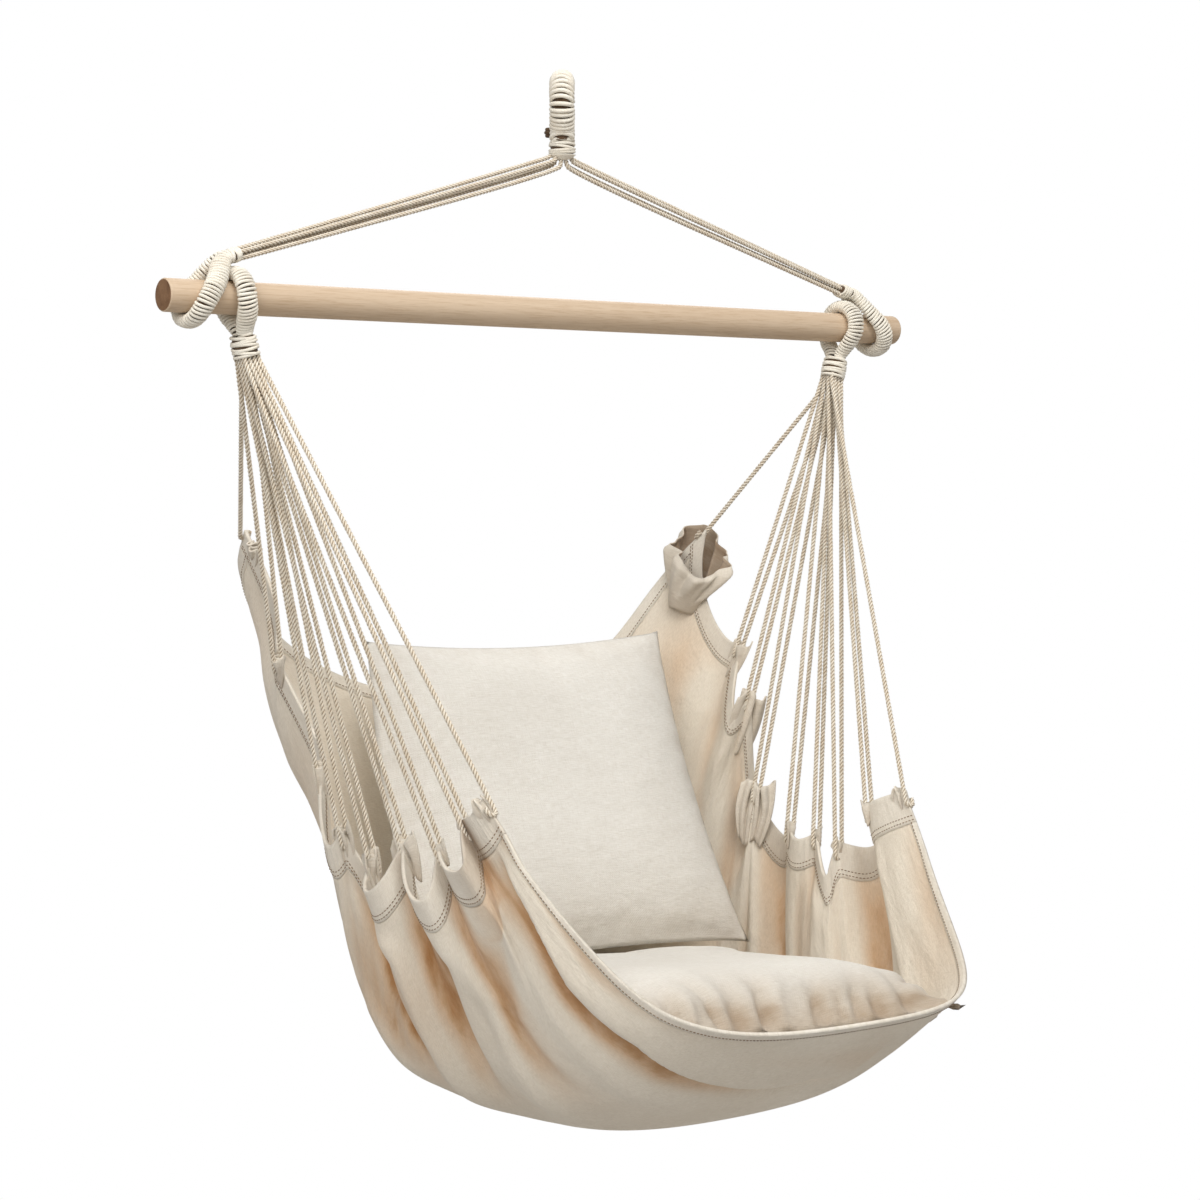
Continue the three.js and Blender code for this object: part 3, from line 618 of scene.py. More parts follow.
def makeBar():
    half, radius, edge, around = bar["length"] / 2, bar["diameter"] / 2, bar["edgeRound"], bar["around"]
    profile = [(half, (radius - edge) * 0.5), (half, radius - edge)]
    profile += [(half - edge * (1 - math.cos(t)), radius - edge * (1 - math.sin(t))) for t in (0.4, 0.8, 1.2)]
    profile += [(x, radius) for x in np.linspace(half - edge, -half + edge, bar["along"])]
    profile += [(-x, r) for x, r in reversed(profile[:5])]
    points = [(half, 0, barHeight)]
    for x, r in profile:
        for k in range(around):
            turn = 2 * math.pi * k / around
            points.append((x, r * math.cos(turn), barHeight + r * math.sin(turn)))
    last = len(points)
    points.append((-half, 0, barHeight))
    faces = poleFaces(0, 1, around) + ringFaces(len(profile), around, 1, True)
    faces += poleFaces(last, last - around, around, True)
    thing = addMesh("spreaderBar", points, faces)
    thing.data.materials.append(beech)
    thing.data.materials.append(beechEndGrainAndShade)
    for polygon in thing.data.polygons:
        if abs(polygon.normal.x) > 0.9:
            polygon.material_index = 1
    declare(thing, "spreader", "beech", "spreader_bar")


# Twisted cord, laid from three strands along any path
twist = {"strands": 3.0, "lobe": 0.17, "pitch": 0.0135, "step": 0.0021, "around": 12}


def twistedTree():
    inputs = {"Radius": 0.0025, "Lobe": twist["lobe"], "Pitch": twist["pitch"], "Step": twist["step"]}
    tree, given = treeWith("twistedCord", {**inputs, "Material": cordSkin})
    even = evenPoints(tree, given["Geometry"], given["Step"])
    run = addNode(tree, "GeometryNodeSplineParameter").outputs["Length"]
    turns = calc(tree, "MULTIPLY", calc(tree, "DIVIDE", run, given["Pitch"]), 2 * math.pi)
    tilt = addNode(tree, "GeometryNodeSetCurveTilt", {"Curve": even, "Tilt": turns}).outputs[0]
    circle = circleNode(tree, twist["around"], given["Radius"])
    spot = addNode(tree, "GeometryNodeInputPosition").outputs[0]
    split = addNode(tree, "ShaderNodeSeparateXYZ", {0: spot}).outputs
    angle = calc(tree, "ARCTAN2", split["Y"], split["X"])
    wave = calc(tree, "COSINE", calc(tree, "MULTIPLY", angle, twist["strands"]))
    swell = calc(tree, "ADD", calc(tree, "MULTIPLY", wave, given["Lobe"]), 1.0)
    grow = addNode(tree, "ShaderNodeVectorMath", {0: spot, "Scale": swell}, operation="SCALE")
    between = calc(tree, "MULTIPLY", calc(tree, "SUBTRACT", 1.0, wave), 0.5)
    section = storeGroove(tree, reshaped(tree, circle, grow.outputs[0]), between)
    return endTree(tree, sweptTube(tree, tilt, section, True), given)


# Wraps of whipping cord: one oval loop of cord at each point, turned and sized by the point's attributes
def wrapTree():
    inputs = {"HalfWidth": 0.01, "HalfThick": 0.006, "Cord": 0.0026, "Material": ropeWrapSkin}
    tree, given = treeWith("whippingWraps", inputs)
    shape = addNode(tree, "ShaderNodeCombineXYZ", {"X": given["HalfWidth"], "Y": given["HalfThick"]})
    spot = addNode(tree, "GeometryNodeInputPosition").outputs[0]
    scaled = addNode(tree, "ShaderNodeVectorMath", {0: spot, 1: shape.outputs[0]}, operation="MULTIPLY")
    oval = reshaped(tree, circleNode(tree, 28, 1.0), scaled.outputs[0])
    thick = calc(tree, "DIVIDE", given["Cord"], 2.0)
    tube = sweptTube(tree, oval, circleNode(tree, 8, thick))
    high = calc(tree, "ABSOLUTE", addNode(tree, "ShaderNodeSeparateXYZ", {0: spot}).outputs["Z"])
    ring = storeGroove(tree, tube, calc(tree, "DIVIDE", high, thick))
    turn = addNode(tree, "FunctionNodeEulerToRotation", {0: namedVector(tree, "wrapTurn")}).outputs[0]
    size = namedVector(tree, "wrapSize")
    return endTree(tree, placedCopies(tree, given["Geometry"], ring, turn, size), given)


cordTree = twistedTree()
windTree = wrapTree()


def twistedCord(name, path, radius, body, node):
    thing = bakeTree(addCurve(name + "Path", [path]), cordTree, {"Radius": radius}, name)
    declare(thing, body, "cord", node)


def wraps(name, places, frames, sizes, halfWidth, halfThick, cord, skin=ropeWrapSkin):
    # frames hold (across, outward, along) as rows: the loop lies in the first two
    source = addMesh(name + "Points", places, [])
    turns = [tuple(Matrix(rows).transposed().to_euler()) for rows in frames]
    for label, values in (("wrapTurn", turns), ("wrapSize", sizes)):
        layer = source.data.attributes.new(label, "FLOAT_VECTOR", "POINT")
        layer.data.foreach_set("vector", np.asarray(values, float).ravel())
    values = {"HalfWidth": halfWidth, "HalfThick": halfThick, "Cord": cord, "Material": skin}
    return bakeTree(source, windTree, values, name)


def squareFrame(along, outward):
    along = unit(along)
    outward = unit(outward - along * np.dot(outward, along))
    return np.cross(outward, along), outward, along


def ropeCore(name, path, frames, halfs, around=24):
    # a closed tube; halfs holds the half width and half thickness at each point
    points = []
    for place, (across, outward, _), (w, t) in zip(path, frames, halfs):
        for k in range(around):
            turn = 2 * math.pi * k / around
            points.append(place + across * w * math.cos(turn) + outward * t * math.sin(turn))
    last = len(points) - around
    ends = [tuple(reversed(range(around))), tuple(last + k for k in range(around))]
    thing = addMesh(name, points, ringFaces(len(path), around) + ends)
    thing.data.materials.append(coreSkin)
    return thing


def pathFrames(path, outwards):
    along = unit(np.gradient(path, axis=0))
    outward = unit(outwards - along * np.sum(outwards * along, axis=1, keepdims=True))
    return list(zip(np.cross(outward, along), outward, along))


# Eyes on the bar
eyes = {
    "ringRadius": 0.0252, "halfWidth": 0.0100, "halfThick": 0.0058, "cord": 0.0033, "pitch": 0.0036,
    "lowerAt": 0.418, "lowerReach": 0.038, "legs": 0.0063,
    "upperFoot": 0.470, "upperNeck": 0.425, "neckRise": 0.0415, "lean": 1.6, "upperLegs": 0.0054,
    "inward": math.radians(14.3), "climb": math.radians(13), "coreIn": (0.0022, 0.0018),
    "taper": 0.14, "endWidth": 0.62, "endThick": 0.92, "wrapEnd": (0.72, 0.9), "wrapIn": (0.0004, -0.0002),
}
lashing = {
    "top": 0.193, "foot": 0.168, "ball": 0.022, "fall": 0.0031, "lowest": 0.0082, "rim": 0.0155,
    "rings": 8, "around": 32, "turns": 6,
}


def bridleDirection(side):
    neck = np.array([side * eyes["upperNeck"], 0, eyes["neckRise"]])
    return unit(np.array([0, 0, lashing["foot"] - 2 * lashing["fall"]]) - neck)


def onLowerEye(side, y, rise):
    # below the bar the eye leans inwards, as its cords pull it
    inward = max(0, -rise) * math.tan(eyes["inward"])
    return np.array([side * (eyes["lowerAt"] - inward), y, rise])


def neckAlong(side):
    return np.array([-side * math.sin(eyes["inward"]), 0, -math.cos(eyes["inward"])])


def neckAcross(side):
    return np.array([side * math.cos(eyes["inward"]), 0, -math.sin(eyes["inward"])])


def bothLegs(half, middle):
    return catmull(half + [middle] + [p * (1, -1, 1) for p in reversed(half)])


def lowerEyePath(side):
    legs, reach, ring = eyes["legs"], eyes["lowerReach"], eyes["ringRadius"]
    half = [onLowerEye(side, legs, -reach - 0.004), onLowerEye(side, legs, -reach + 0.004)]
    for degrees in (52, 80, 110, 145):
        turn = math.radians(degrees)
        half.append(onLowerEye(side, ring * math.sin(turn), -ring * math.cos(turn)))
    return bothLegs(half, onLowerEye(side, 0, ring))


def upperEyePath(side):
    ring, rise, foot, neck = eyes["ringRadius"], eyes["neckRise"], eyes["upperFoot"], eyes["upperNeck"]
    along = bridleDirection(side)
    top = np.array([side * neck, eyes["upperLegs"], rise])

    def place(y, z):
        share = (z + ring) / (rise + ring)
        return np.array([side * (foot - (foot - neck) * share ** eyes["lean"]), y, z])
    half = [top + along * 0.004, top - along * ring / 3]
    for degrees in (128, 100, 70, 35):
        turn = math.radians(degrees)
        half.append(place(ring * math.sin(turn), -ring * math.cos(turn)))
    return bothLegs(half, place(0, -ring))


def makeEye(name, path, body, nodes):
    path = path + barLine
    frames = pathFrames(path, path * (0, 1, 1) - barLine)
    count = len(path)
    ends = np.clip(np.minimum(np.arange(count), np.arange(count)[::-1]) / (count * eyes["taper"]), 0, 1)
    wide = eyes["halfWidth"] * mix(eyes["endWidth"], 1, ends) - eyes["coreIn"][0]
    thick = eyes["halfThick"] * mix(eyes["endThick"], 1, ends) - eyes["coreIn"][1]
    core = ropeCore(name + "Core", path, frames, list(zip(wide, thick)))
    turned, sizes, places = [], [], []
    for i in range(2, count - 2, round(eyes["pitch"] / curveStep)):
        across, outward, along = frames[i]
        lean = eyes["climb"] + rng.normal(0, 0.05)
        leaning = along + across * math.tan(lean) * 0.55 + outward * rng.normal(0, 0.03)
        turned.append(squareFrame(leaning, outward))
        width, depth = (mix(end, 1, ends[i]) for end in eyes["wrapEnd"])
        sizes.append((width * (1 + rng.normal(0, 0.015)), depth, 1.0))
        places.append(path[i] + outward * rng.normal(0, 0.0001))
    half = (eyes["halfWidth"] - eyes["wrapIn"][0], eyes["halfThick"] - eyes["wrapIn"][1])
    wound = wraps(name + "Wraps", places, turned, sizes, *half, eyes["cord"])
    declare(joinPieces(name, [core, wound]), body, "rope", *nodes)


def makeEyes():
    for name, side in sides.items():
        for kind, path, body in (("lower", lowerEyePath, "seat"), ("upper", upperEyePath, "spreader")):
            nodes = [f"{kind}_eye_{name}", f"{kind}_eye_{name}_whipping"]
            makeEye(f"{kind}Eye{name.capitalize()}", path(side), body, nodes)


# Collars: crossing lashings round the neck of each eye
collars = {
    "gap": 0.0003, "lowerLength": 0.021, "upperLength": 0.012, "cord": 0.0033, "coreIn": 0.0026,
    "wrapIn": 0.0017, "lower": ((0.0155, 0.0130), (0.0146, 0.0143)), "lowerTurns": 8,
    "upper": ((0.0125, 0.0080), (0.0120, 0.0080)), "upperTurns": 4,
}


def makeCollar(name, start, end, along, across, sizes, body, node, turns, bulge=0.06, extra=()):
    # sizes: half width and half depth at the start and at the end
    along, across = unit(along), unit(across)
    outward = np.cross(along, across)
    start, end = np.asarray(start, float), np.asarray(end, float)
    first, last = np.array(sizes)

    def girth(s):
        return mix(first, last, s) * (1 + bulge * math.sin(math.pi * s) ** 0.7)
    shares = np.linspace(0, 1, 25)
    path = [mix(start, end, s) for s in shares]
    halfs = [girth(s) - collars["coreIn"] for s in shares]
    core = ropeCore(name + "Core", path, [(across, outward, along)] * len(path), halfs)
    places, turned, scales = [], [], []
    for n in range(turns):
        s = (n + 0.5) / turns
        tip = math.radians(10 + 9 * math.sin(n * 2.4)) * (1 if n % 3 else -1)
        leaning = along + outward * math.tan(tip) * 0.5 + across * rng.normal(0, 0.08)
        turned.append(squareFrame(leaning, outward))
        scales.append((*((girth(s) - collars["wrapIn"]) / first), 1.0))
        places.append(mix(start, end, s))
    wound = wraps(name + "Wraps", places, turned, scales, *first, collars["cord"])
    declare(joinPieces(name, [core, wound, *extra]), body, "rope", node)


def makeCollars():
    for name, side in sides.items():
        big = name.capitalize()
        along = neckAlong(side)
        start = onLowerEye(side, 0, -eyes["lowerReach"]) + along * collars["gap"] + barLine
        makeCollar(
            "lowerCollar" + big, start, start + along * collars["lowerLength"], along, (0, 1, 0),
            collars["lower"], "seat", "lower_collar_" + name, collars["lowerTurns"],
        )
        along = bridleDirection(side)
        neck = np.array([side * eyes["upperNeck"], 0, barHeight + eyes["neckRise"]])
        end = neck + along * collars["upperLength"]
        makeCollar(
            "upperCollar" + big, neck + along * 0.0005, end, along, (0, 1, 0),
            collars["upper"], "spreader", "upper_collar_" + name, collars["upperTurns"],
        )


# Hanging loop, its lashing and the bridle
hook = {
    "width": 0.026, "height": 0.048, "rope": 0.018, "cord": 0.0048, "pitch": 0.0052, "turn": -38,
    "whipping": 0.0018, "radius": 0.0116, "coreIn": 0.0022, "climb": math.radians(12),
    "knotOut": 0.0145, "knotHeight": 0.199, "knotCord": 0.0040, "knotRadius": 0.0034, "knotPitch": 0.0034,
}


def turnedLoop(points):
    angle = math.pi / 2 + math.radians(hook["turn"])
    c, s = math.cos(angle), math.sin(angle)
    x, y, z = np.asarray(points, float).T
    return np.stack([x * c - y * s, x * s + y * c, z], -1)


def loopPath():
    wound = (hook["rope"] / 2 + 0.0001 + hook["whipping"]) / math.cos(math.pi / 8) + hook["whipping"]
    reach = hook["width"] / 2 + wound
    arch, foot, legs = -hook["width"] / 2, -hook["height"], hook["rope"] / 2 + 0.0003
    half = [(-legs, 0, foot - 0.004), (-legs, 0, foot + 0.006), (-legs - (reach - legs) * 0.75, 0, foot / 2)]
    points = list(half)
    for turn in np.linspace(math.pi, 0, 5):
        points.append((reach * math.cos(turn), 0, arch + reach * math.sin(turn)))
    return catmull(points + [(-x, y, z) for x, y, z in reversed(half)])


def makeKnot():
    # the whipping's end knot beside the loop's foot
    aside = np.array([-0.788, 0.616, 0]) * hook["knotOut"]
    middle = np.array([0, 0, barHeight + hook["knotHeight"]]) + aside
    spots, frames = [], []
    for n in range(3):
        spots.append(middle + (0, 0, (n - 1) * hook["knotPitch"]))
        frames.append(((1, 0, 0), (0, 1, 0), unit((0.2 * n, 0.3 - 0.3 * n, 1.0))))
    sizes = [(0.8, 0.8, 1), (1, 1, 1), (0.8, 0.8, 1)]
    radius = hook["knotRadius"]
    # the knot takes the dark core skin as painted shade
    return wraps("hangingLoopKnot", spots, frames, sizes, radius, radius, hook["knotCord"], coreSkin)


def makeLoop():
    path = loopPath()
    flat = turnedLoop(np.tile([[0.0, 1.0, 0.0]], (len(path), 1)))
    path = turnedLoop(path)
    frames = pathFrames(path, flat)
    radius = hook["radius"]
    core = ropeCore("hangingLoopCore", path, frames, [(radius - hook["coreIn"],) * 2] * len(path))
    places, turned, sizes = [], [], []
    for i in range(3, len(path) - 3, round(hook["pitch"] / curveStep)):
        across, outward, along = frames[i]
        leaning = along + across * math.tan(hook["climb"]) + outward * rng.normal(0, 0.04)
        turned.append(squareFrame(leaning, outward))
        places.append(path[i])
        sizes.append((1 + rng.normal(0, 0.015),) * 3)
    wound = wraps("hangingLoopWraps", places, turned, sizes, radius, radius, hook["cord"])
    thing = joinPieces("hangingLoop", [core, wound, makeKnot()])
    declare(thing, "hanger", "rope", "hanging_loop", "hanging_loop_whipping")


def makeLashing():
    # the bridle cords hang round its rounded foot
    radius, around, rings = lashing["ball"] - 0.0004, lashing["around"], lashing["rings"]
    centre = barHeight + lashing["foot"] + lashing["ball"]
    points = []
    for i in range(rings):
        angle = math.asin(lashing["rim"] / lashing["ball"]) * (1 - i / rings)
        for k in range(around):
            turn = 2 * math.pi * k / around
            r = radius * math.sin(angle)
            points.append((r * math.cos(turn), r * math.sin(turn), centre - radius * math.cos(angle)))
    last = len(points)
    points.append((0, 0, centre - radius))
    faces = ringFaces(rings, around, 0, True) + poleFaces(last, last - around, around, True)
    foot = addMesh("lashingFoot", points, faces + [tuple(range(around))])
    foot.data.materials.append(ropeWrapSkin)
    top = barHeight + lashing["top"] - 0.0005
    low = barHeight + lashing["foot"] + lashing["lowest"]
    makeCollar(
        "hangingLashing", (0, 0, top), (0, 0, low), (0, 0, -1), turnedLoop([(1, 0, 0)])[0],
        ((0.0188, 0.0138), (0.0150, 0.0150)), "swivel", "hanging_lashing", lashing["turns"], 0.05, (foot,),
    )


bridle = {
    "cords": 4, "radius": 0.0024, "hubSpacing": 0.0035, "hubStagger": 0.0027,
    "endSpacing": 0.0033, "endStagger": 0.0022,
}


def makeBridle():
    pivot = np.array([0, 0, lashing["foot"] + lashing["ball"]])
    start = lashing["ball"] + 0.0003
    for name, side in sides.items():
        along = bridleDirection(side)
        upright = np.array([side * along[2], 0, abs(along[0])])
        for index in range(bridle["cords"]):
            stagger = -1 if index % 2 == 0 else 1
            end = np.array([side * eyes["upperNeck"], 0, eyes["neckRise"]]) + along * collars["upperLength"]
            end = end + upright * (index - 1.5) * bridle["endSpacing"]
            end[1] += stagger * bridle["endStagger"]
            out = side * bridle["hubSpacing"] * (index + 1)
            radial = np.array([out, stagger * bridle["hubStagger"], 0]) / start
            radial[2] = -math.sqrt(1 - radial @ radial)
            bend = pivot + radial * (start + lashing["fall"] * (bridle["cords"] - index))
            path = smoothPath(np.array([pivot + radial * start, bend, end, end - along * 0.004]) + barLine)
            title = f"bridleCord{name.capitalize()}{index + 1}"
            twistedCord(title, path, bridle["radius"], "spreader", f"bridle_cord_{name}_{index + 1}")


# Cloth: one surface from the left edge through the belly to the right edge
cloth = {
    "halfWidth": 0.312, "depth": 0.430, "drop": 0.625, "bellyDrop": 0.862, "frontReach": 0.464,
    "hemPull": 0.240, "rearFlare": 0.045, "frontFlare": 0.049, "rightFlare": 0.022, "rightLevel": 0.026,
    "hem": 0.042, "endHem": 0.014, "scallop": 0.042, "fold": 0.026, "foldReach": 0.85,
    "fluteTop": 0.22, "turnOver": 0.12, "sink": 0.5,
    "rearTurn": math.radians(50), "frontTurn": math.radians(-25), "thickness": 0.0022,
}
holes = {
    -1: [(0.36, 0.379), (0.208, 0.6), (0.017, 0.773), (-0.081, 0.871), (-0.208, 0.909),
         (-0.339, 0.877), (-0.48, 0.875), (-0.577, 0.827), (-0.659, 0.789)],
    1: [(0.29, 0.385), (0.14, 0.605), (0.1, 0.702), (0.07, 0.87), (-0.066, 0.937),
        (-0.172, 0.942), (-0.257, 0.953), (-0.373, 0.881), (-0.516, 0.844)],
}
middleLine = [(0.363, 0.5), (0.252, 0.651), (0.139, 0.801), (0.01, 0.931), (-0.171, 0.98),
              (-0.383, 1.002), (-0.615, 0.977), (-0.831, 0.914), (-1, 0.839)]
edgePulls = np.array([138, 181, 224, 252, 230, 222, 246, 259, 230]) / 1000
bellyPulls = np.array([216, 234, 275, 303, 301, 262, 247, 229, 232]) / 1000
# each gap between two holes stands out as a flute: its height, the dip of its edge, how far the dip
# leans to the front, and how much the flute widens at its top
flutes = {
    -1: np.array([(-0.45, 0.05, 0.0, 0.0), (-0.55, 0.75, 0.0, 0.2), (0.45, 0.85, 0.1, 0.4),
                  (-0.45, 1.00, 0.0, 0.3), (1.05, 1.00, 0.1, 0.55), (0.95, 1.35, 0.1, 0.6),
                  (1.00, 1.15, 0.40, 0.3), (0.20, 0.12, 0.0, 0.0)]),
    1: np.array([(0.50, 0.75, 0.0, 0.3), (-0.50, 0.90, 0.1, 0.2), (0.55, 0.60, 0.3, 0.3),
                 (0.85, 0.70, 0.0, 0.5), (-0.25, 0.20, 0.0, 0.3), (-0.35, 0.95, 0.25, -0.2),
                 (1.25, 0.35, -0.1, 0.7), (-0.20, 0.02, 0.0, 0.3)]),
}
gapCount = len(flutes[1])
edgeLines = {
    side: np.array([(side * cloth["halfWidth"], a * cloth["depth"], -d * cloth["drop"]) for a, d in line])
    for side, line in holes.items()
}
bellyLine = np.array([(0, a * cloth["frontReach"], -d * cloth["bellyDrop"]) for a, d in middleLine])


def stationLine(points, stations):
    padded = padEnds(points)
    spots = np.clip(stations, 0, 1) * (len(points) - 1)
    index = np.minimum(spots.astype(int), len(points) - 2)
    out = np.empty((len(spots), 3))
    for i in np.unique(index):
        mask = index == i
        out[mask] = catmullRun(padded[i:i + 4], spots[mask] - i)
    return out


def fanNeck(side):
    length = collars["gap"] + collars["lowerLength"]
    return onLowerEye(side, 0, -eyes["lowerReach"]) + neckAlong(side) * length


def clothPlaces(across, station):
    # across runs from -1 at the left edge to 1 at the right, station from 0 at the rear to 1 at the front
    across, station = np.broadcast_arrays(np.asarray(across, float), np.asarray(station, float))
    shape = across.shape
    across, station = across.ravel(), station.ravel()
    side = np.where(across < 0, -1.0, 1.0)
    left = (side < 0)[:, None]
    station, dip, height = fluteShape(across, station, side)
    edge = np.where(left, stationLine(edgeLines[-1], station), stationLine(edgeLines[1], station))
    belly = stationLine(bellyLine, station)
    marks = np.linspace(0, 1, len(edgePulls))
    pull, level = np.interp(station, marks, edgePulls), np.interp(station, marks, bellyPulls)
    handle = edge + unit(edge - np.where(left, fanNeck(-1), fanNeck(1))) * pull[:, None]
    droop = dip * cloth["scallop"] / (3 * pull)
    spread = droop + (1 - droop) * (1 - np.abs(across))
    rightFront = (side > 0) * np.clip(station * 4 - 3, 0, 1)
    handle[:, 1] += cloth["rearFlare"] * np.maximum(0, 1 - station * 3)
    handle[:, 1] -= cloth["frontFlare"] * np.maximum(0, station * 3 - 2)
    handle[:, 1] += cloth["rightFlare"] * rightFront
    level = level + cloth["rightLevel"] * rightFront
    floor = belly + np.stack([side * level, 0 * side, 0 * side], -1)
    t = spread[:, None]
    point = (1 - t)**3 * edge + 3 * (1 - t)**2 * t * handle + 3 * (1 - t) * t**2 * floor + t**3 * belly
    turn = mix(cloth["rearTurn"], cloth["frontTurn"], station)
    sink = -cloth["sink"] * np.clip(1.4 - 2 * np.abs(across), 0, 1)
    outward = np.stack([np.tanh(across / cloth["turnOver"]) * np.cos(turn), np.sin(turn), sink], -1)
    point = point + unit(outward) * height[:, None]
    return point.reshape(*shape, 3), height.reshape(shape)


def fluteShape(across, station, side):
    # where the flutes and folds move a point: its station, the dip of its edge, and its height
    spots = np.clip(station, 0, 1) * gapCount
    gap = np.minimum(spots.astype(int), gapCount - 1)
    part = spots - gap
    high, dip, lean, widen = np.where((side < 0)[:, None], flutes[-1][gap], flutes[1][gap]).T
    inward = 1 - np.abs(across)
    wave = np.sin(math.pi * part)
    top = near(inward, (0, cloth["fluteTop"]))
    swing = lean * wave**2 - widen * np.sin(2 * math.pi * part) / (2 * math.pi)
    moved = (gap + part + top * swing) / gapCount
    reach = np.maximum(0, 1 - inward / cloth["foldReach"])
    height = cloth["fold"] * high * wave**1.3 * reach**2 * (1 + 0.25 * top)
    return moved, dip * wave**1.4, height + foldHeight(across, station)


# folds of the seat: points of (across, station), width towards the rear and the front, height out
folds = [
    ([(-0.96, 0.965), (-0.84, 0.950), (-0.68, 0.925), (-0.46, 0.935), (-0.25, 0.910), (-0.05, 0.880)],
     0.011, 0.050, 0.015),
    ([(-0.96, 0.945), (-0.84, 0.932), (-0.68, 0.900), (-0.46, 0.915), (-0.17, 0.885), (0.10, 0.840)],
     0.022, 0.012, -0.014),
    ([(-0.93, 0.862), (-0.79, 0.869), (-0.66, 0.856), (-0.50, 0.852), (-0.25, 0.835)], 0.024, 0.022, 0.009),
    ([(-0.95, 0.825), (-0.84, 0.788), (-0.71, 0.762), (-0.50, 0.775)], 0.022, 0.022, -0.006),
    ([(-0.93, 0.700), (-0.83, 0.722), (-0.735, 0.745), (-0.59, 0.728), (-0.38, 0.720)], 0.024, 0.020, 0.010),
    ([(-0.95, 0.640), (-0.87, 0.670), (-0.66, 0.640), (-0.50, 0.625)], 0.016, 0.022, -0.011),
    ([(-0.97, 0.530), (-0.86, 0.567), (-0.74, 0.575), (-0.55, 0.580), (-0.40, 0.573)], 0.020, 0.020, 0.010),
    ([(-0.95, 0.370), (-0.88, 0.430), (-0.73, 0.500), (-0.61, 0.530)], 0.022, 0.024, -0.010),
    ([(-0.93, 0.060), (-0.80, 0.070), (-0.60, 0.090)], 0.050, 0.050, 0.012),
    ([(-0.70, 0.400), (-0.60, 0.430), (-0.44, 0.470)], 0.050, 0.035, 0.010),
    ([(0.95, 0.900), (0.84, 0.895), (0.70, 0.890), (0.45, 0.880)], 0.012, 0.030, -0.006),
    ([(0.95, 0.812), (0.84, 0.812), (0.70, 0.800), (0.45, 0.770)], 0.036, 0.028, 0.012),
    ([(0.95, 0.650), (0.84, 0.640), (0.70, 0.640), (0.50, 0.640)], 0.040, 0.040, -0.010),
    ([(0.95, 0.455), (0.84, 0.480), (0.70, 0.500), (0.50, 0.520)], 0.022, 0.016, 0.012),
    ([(0.95, 0.400), (0.84, 0.410), (0.70, 0.420), (0.50, 0.430)], 0.012, 0.016, -0.008),
    ([(0.95, 0.270), (0.84, 0.280), (0.70, 0.300), (0.45, 0.340)], 0.030, 0.020, 0.010),
    ([(0.95, 0.150), (0.84, 0.160), (0.65, 0.200), (0.40, 0.240)], 0.020, 0.028, 0.009),
    ([(0.95, 0.080), (0.80, 0.100), (0.60, 0.130)], 0.020, 0.020, -0.005),
]


def ease(share):
    return share * share * (3 - 2 * share)


# how far the folds fade at their inner and outer ends and at the edge of the cloth, all in shares of across
foldEnds = {"before": 0.02, "start": 0.12, "after": 0.14, "end": 0.24, "edgeGap": 0.035, "edgeRise": 0.08}


def foldHeight(across, station):
    height = np.zeros(across.shape)
    for line, rear, front, high in folds:
        line = np.array(sorted(line))
        off = station - np.interp(across, line[:, 0], line[:, 1])
        width = np.where(off < 0, rear, front)
        fadeIn = np.clip((across - line[0, 0] + foldEnds["before"]) / foldEnds["start"], 0, 1)
        fadeOut = np.clip((line[-1, 0] + foldEnds["after"] - across) / foldEnds["end"], 0, 1)
        height += high * np.exp(-(off / width)**2) * ease(fadeIn * fadeOut)
    rise = np.clip((1 - np.abs(across) - foldEnds["edgeGap"]) / foldEnds["edgeRise"], 0, 1)
    return height * ease(rise) + fineFolds(across, station) * rise


# the rays are (lean, height) of the narrow folds at each hole
tension = {
    "rays": ((-0.9, 0.6), (0.0, 1.0), (0.8, 0.7)), "rayHeight": 0.0042, "rayWidth": 0.045, "rayWiden": 0.18,
    "rayFade": 0.16, "drift": 0.10, "rippleHeight": 0.0024, "rippleAt": (0.16, 0.2), "ripples": 1.5,
}


def fineFolds(across, station):
    # tension folds that run down from each hole and fade, and slack ripples between them
    side = np.where(across < 0, -1.0, 1.0)
    spots = station * gapCount
    inward = 1 - np.abs(across)
    nearest = spots - np.round(spots)
    drift = tension["drift"] * np.sin(np.round(spots) * 2.3 + side)
    width = tension["rayWidth"] + tension["rayWiden"] * inward
    rays = sum(high * near(nearest, ((lean + drift) * inward, width)) for lean, high in tension["rays"])
    rays = rays * np.exp(-inward / tension["rayFade"])
    ripple = np.sin(spots * 2 * math.pi * tension["ripples"] + 2.1 * np.sin(inward * 7) + side)
    ripple = ripple * np.sin(math.pi * (spots % 1))**2 * near(inward, tension["rippleAt"])
    return tension["rayHeight"] * rays + tension["rippleHeight"] * ripple


def clothPoints(across, station):
    return clothPlaces(across, station)[0]


def clothNormals(across, station):
    small = 0.0015
    u = np.clip(across, small - 1, 1 - small)
    v = np.clip(station, small, 1 - small)
    alongX = clothPoints(u + small, v) - clothPoints(u - small, v)
    alongV = clothPoints(u, v + small) - clothPoints(u, v - small)
    return unit(np.cross(alongX, alongV))


def sheetFaces(rows, columns):
    # both faces of a sheet and the rim between them
    count, faces = rows * columns, []
    for i in range(rows - 1):
        for j in range(columns - 1):
            a = i * columns + j
            faces.append((a, a + 1, a + columns + 1, a + columns))
            faces.append((count + a, count + a + columns, count + a + columns + 1, count + a + 1))
    rim = list(range(columns - 1))
    rim += [i * columns + columns - 1 for i in range(rows - 1)]
    rim += [(rows - 1) * columns + j for j in range(columns - 1, 0, -1)]
    rim += [i * columns for i in range(rows - 1, 0, -1)]
    for a, b in zip(rim, rim[1:] + rim[:1]):
        faces.append((a, count + a, count + b, b))
    return faces


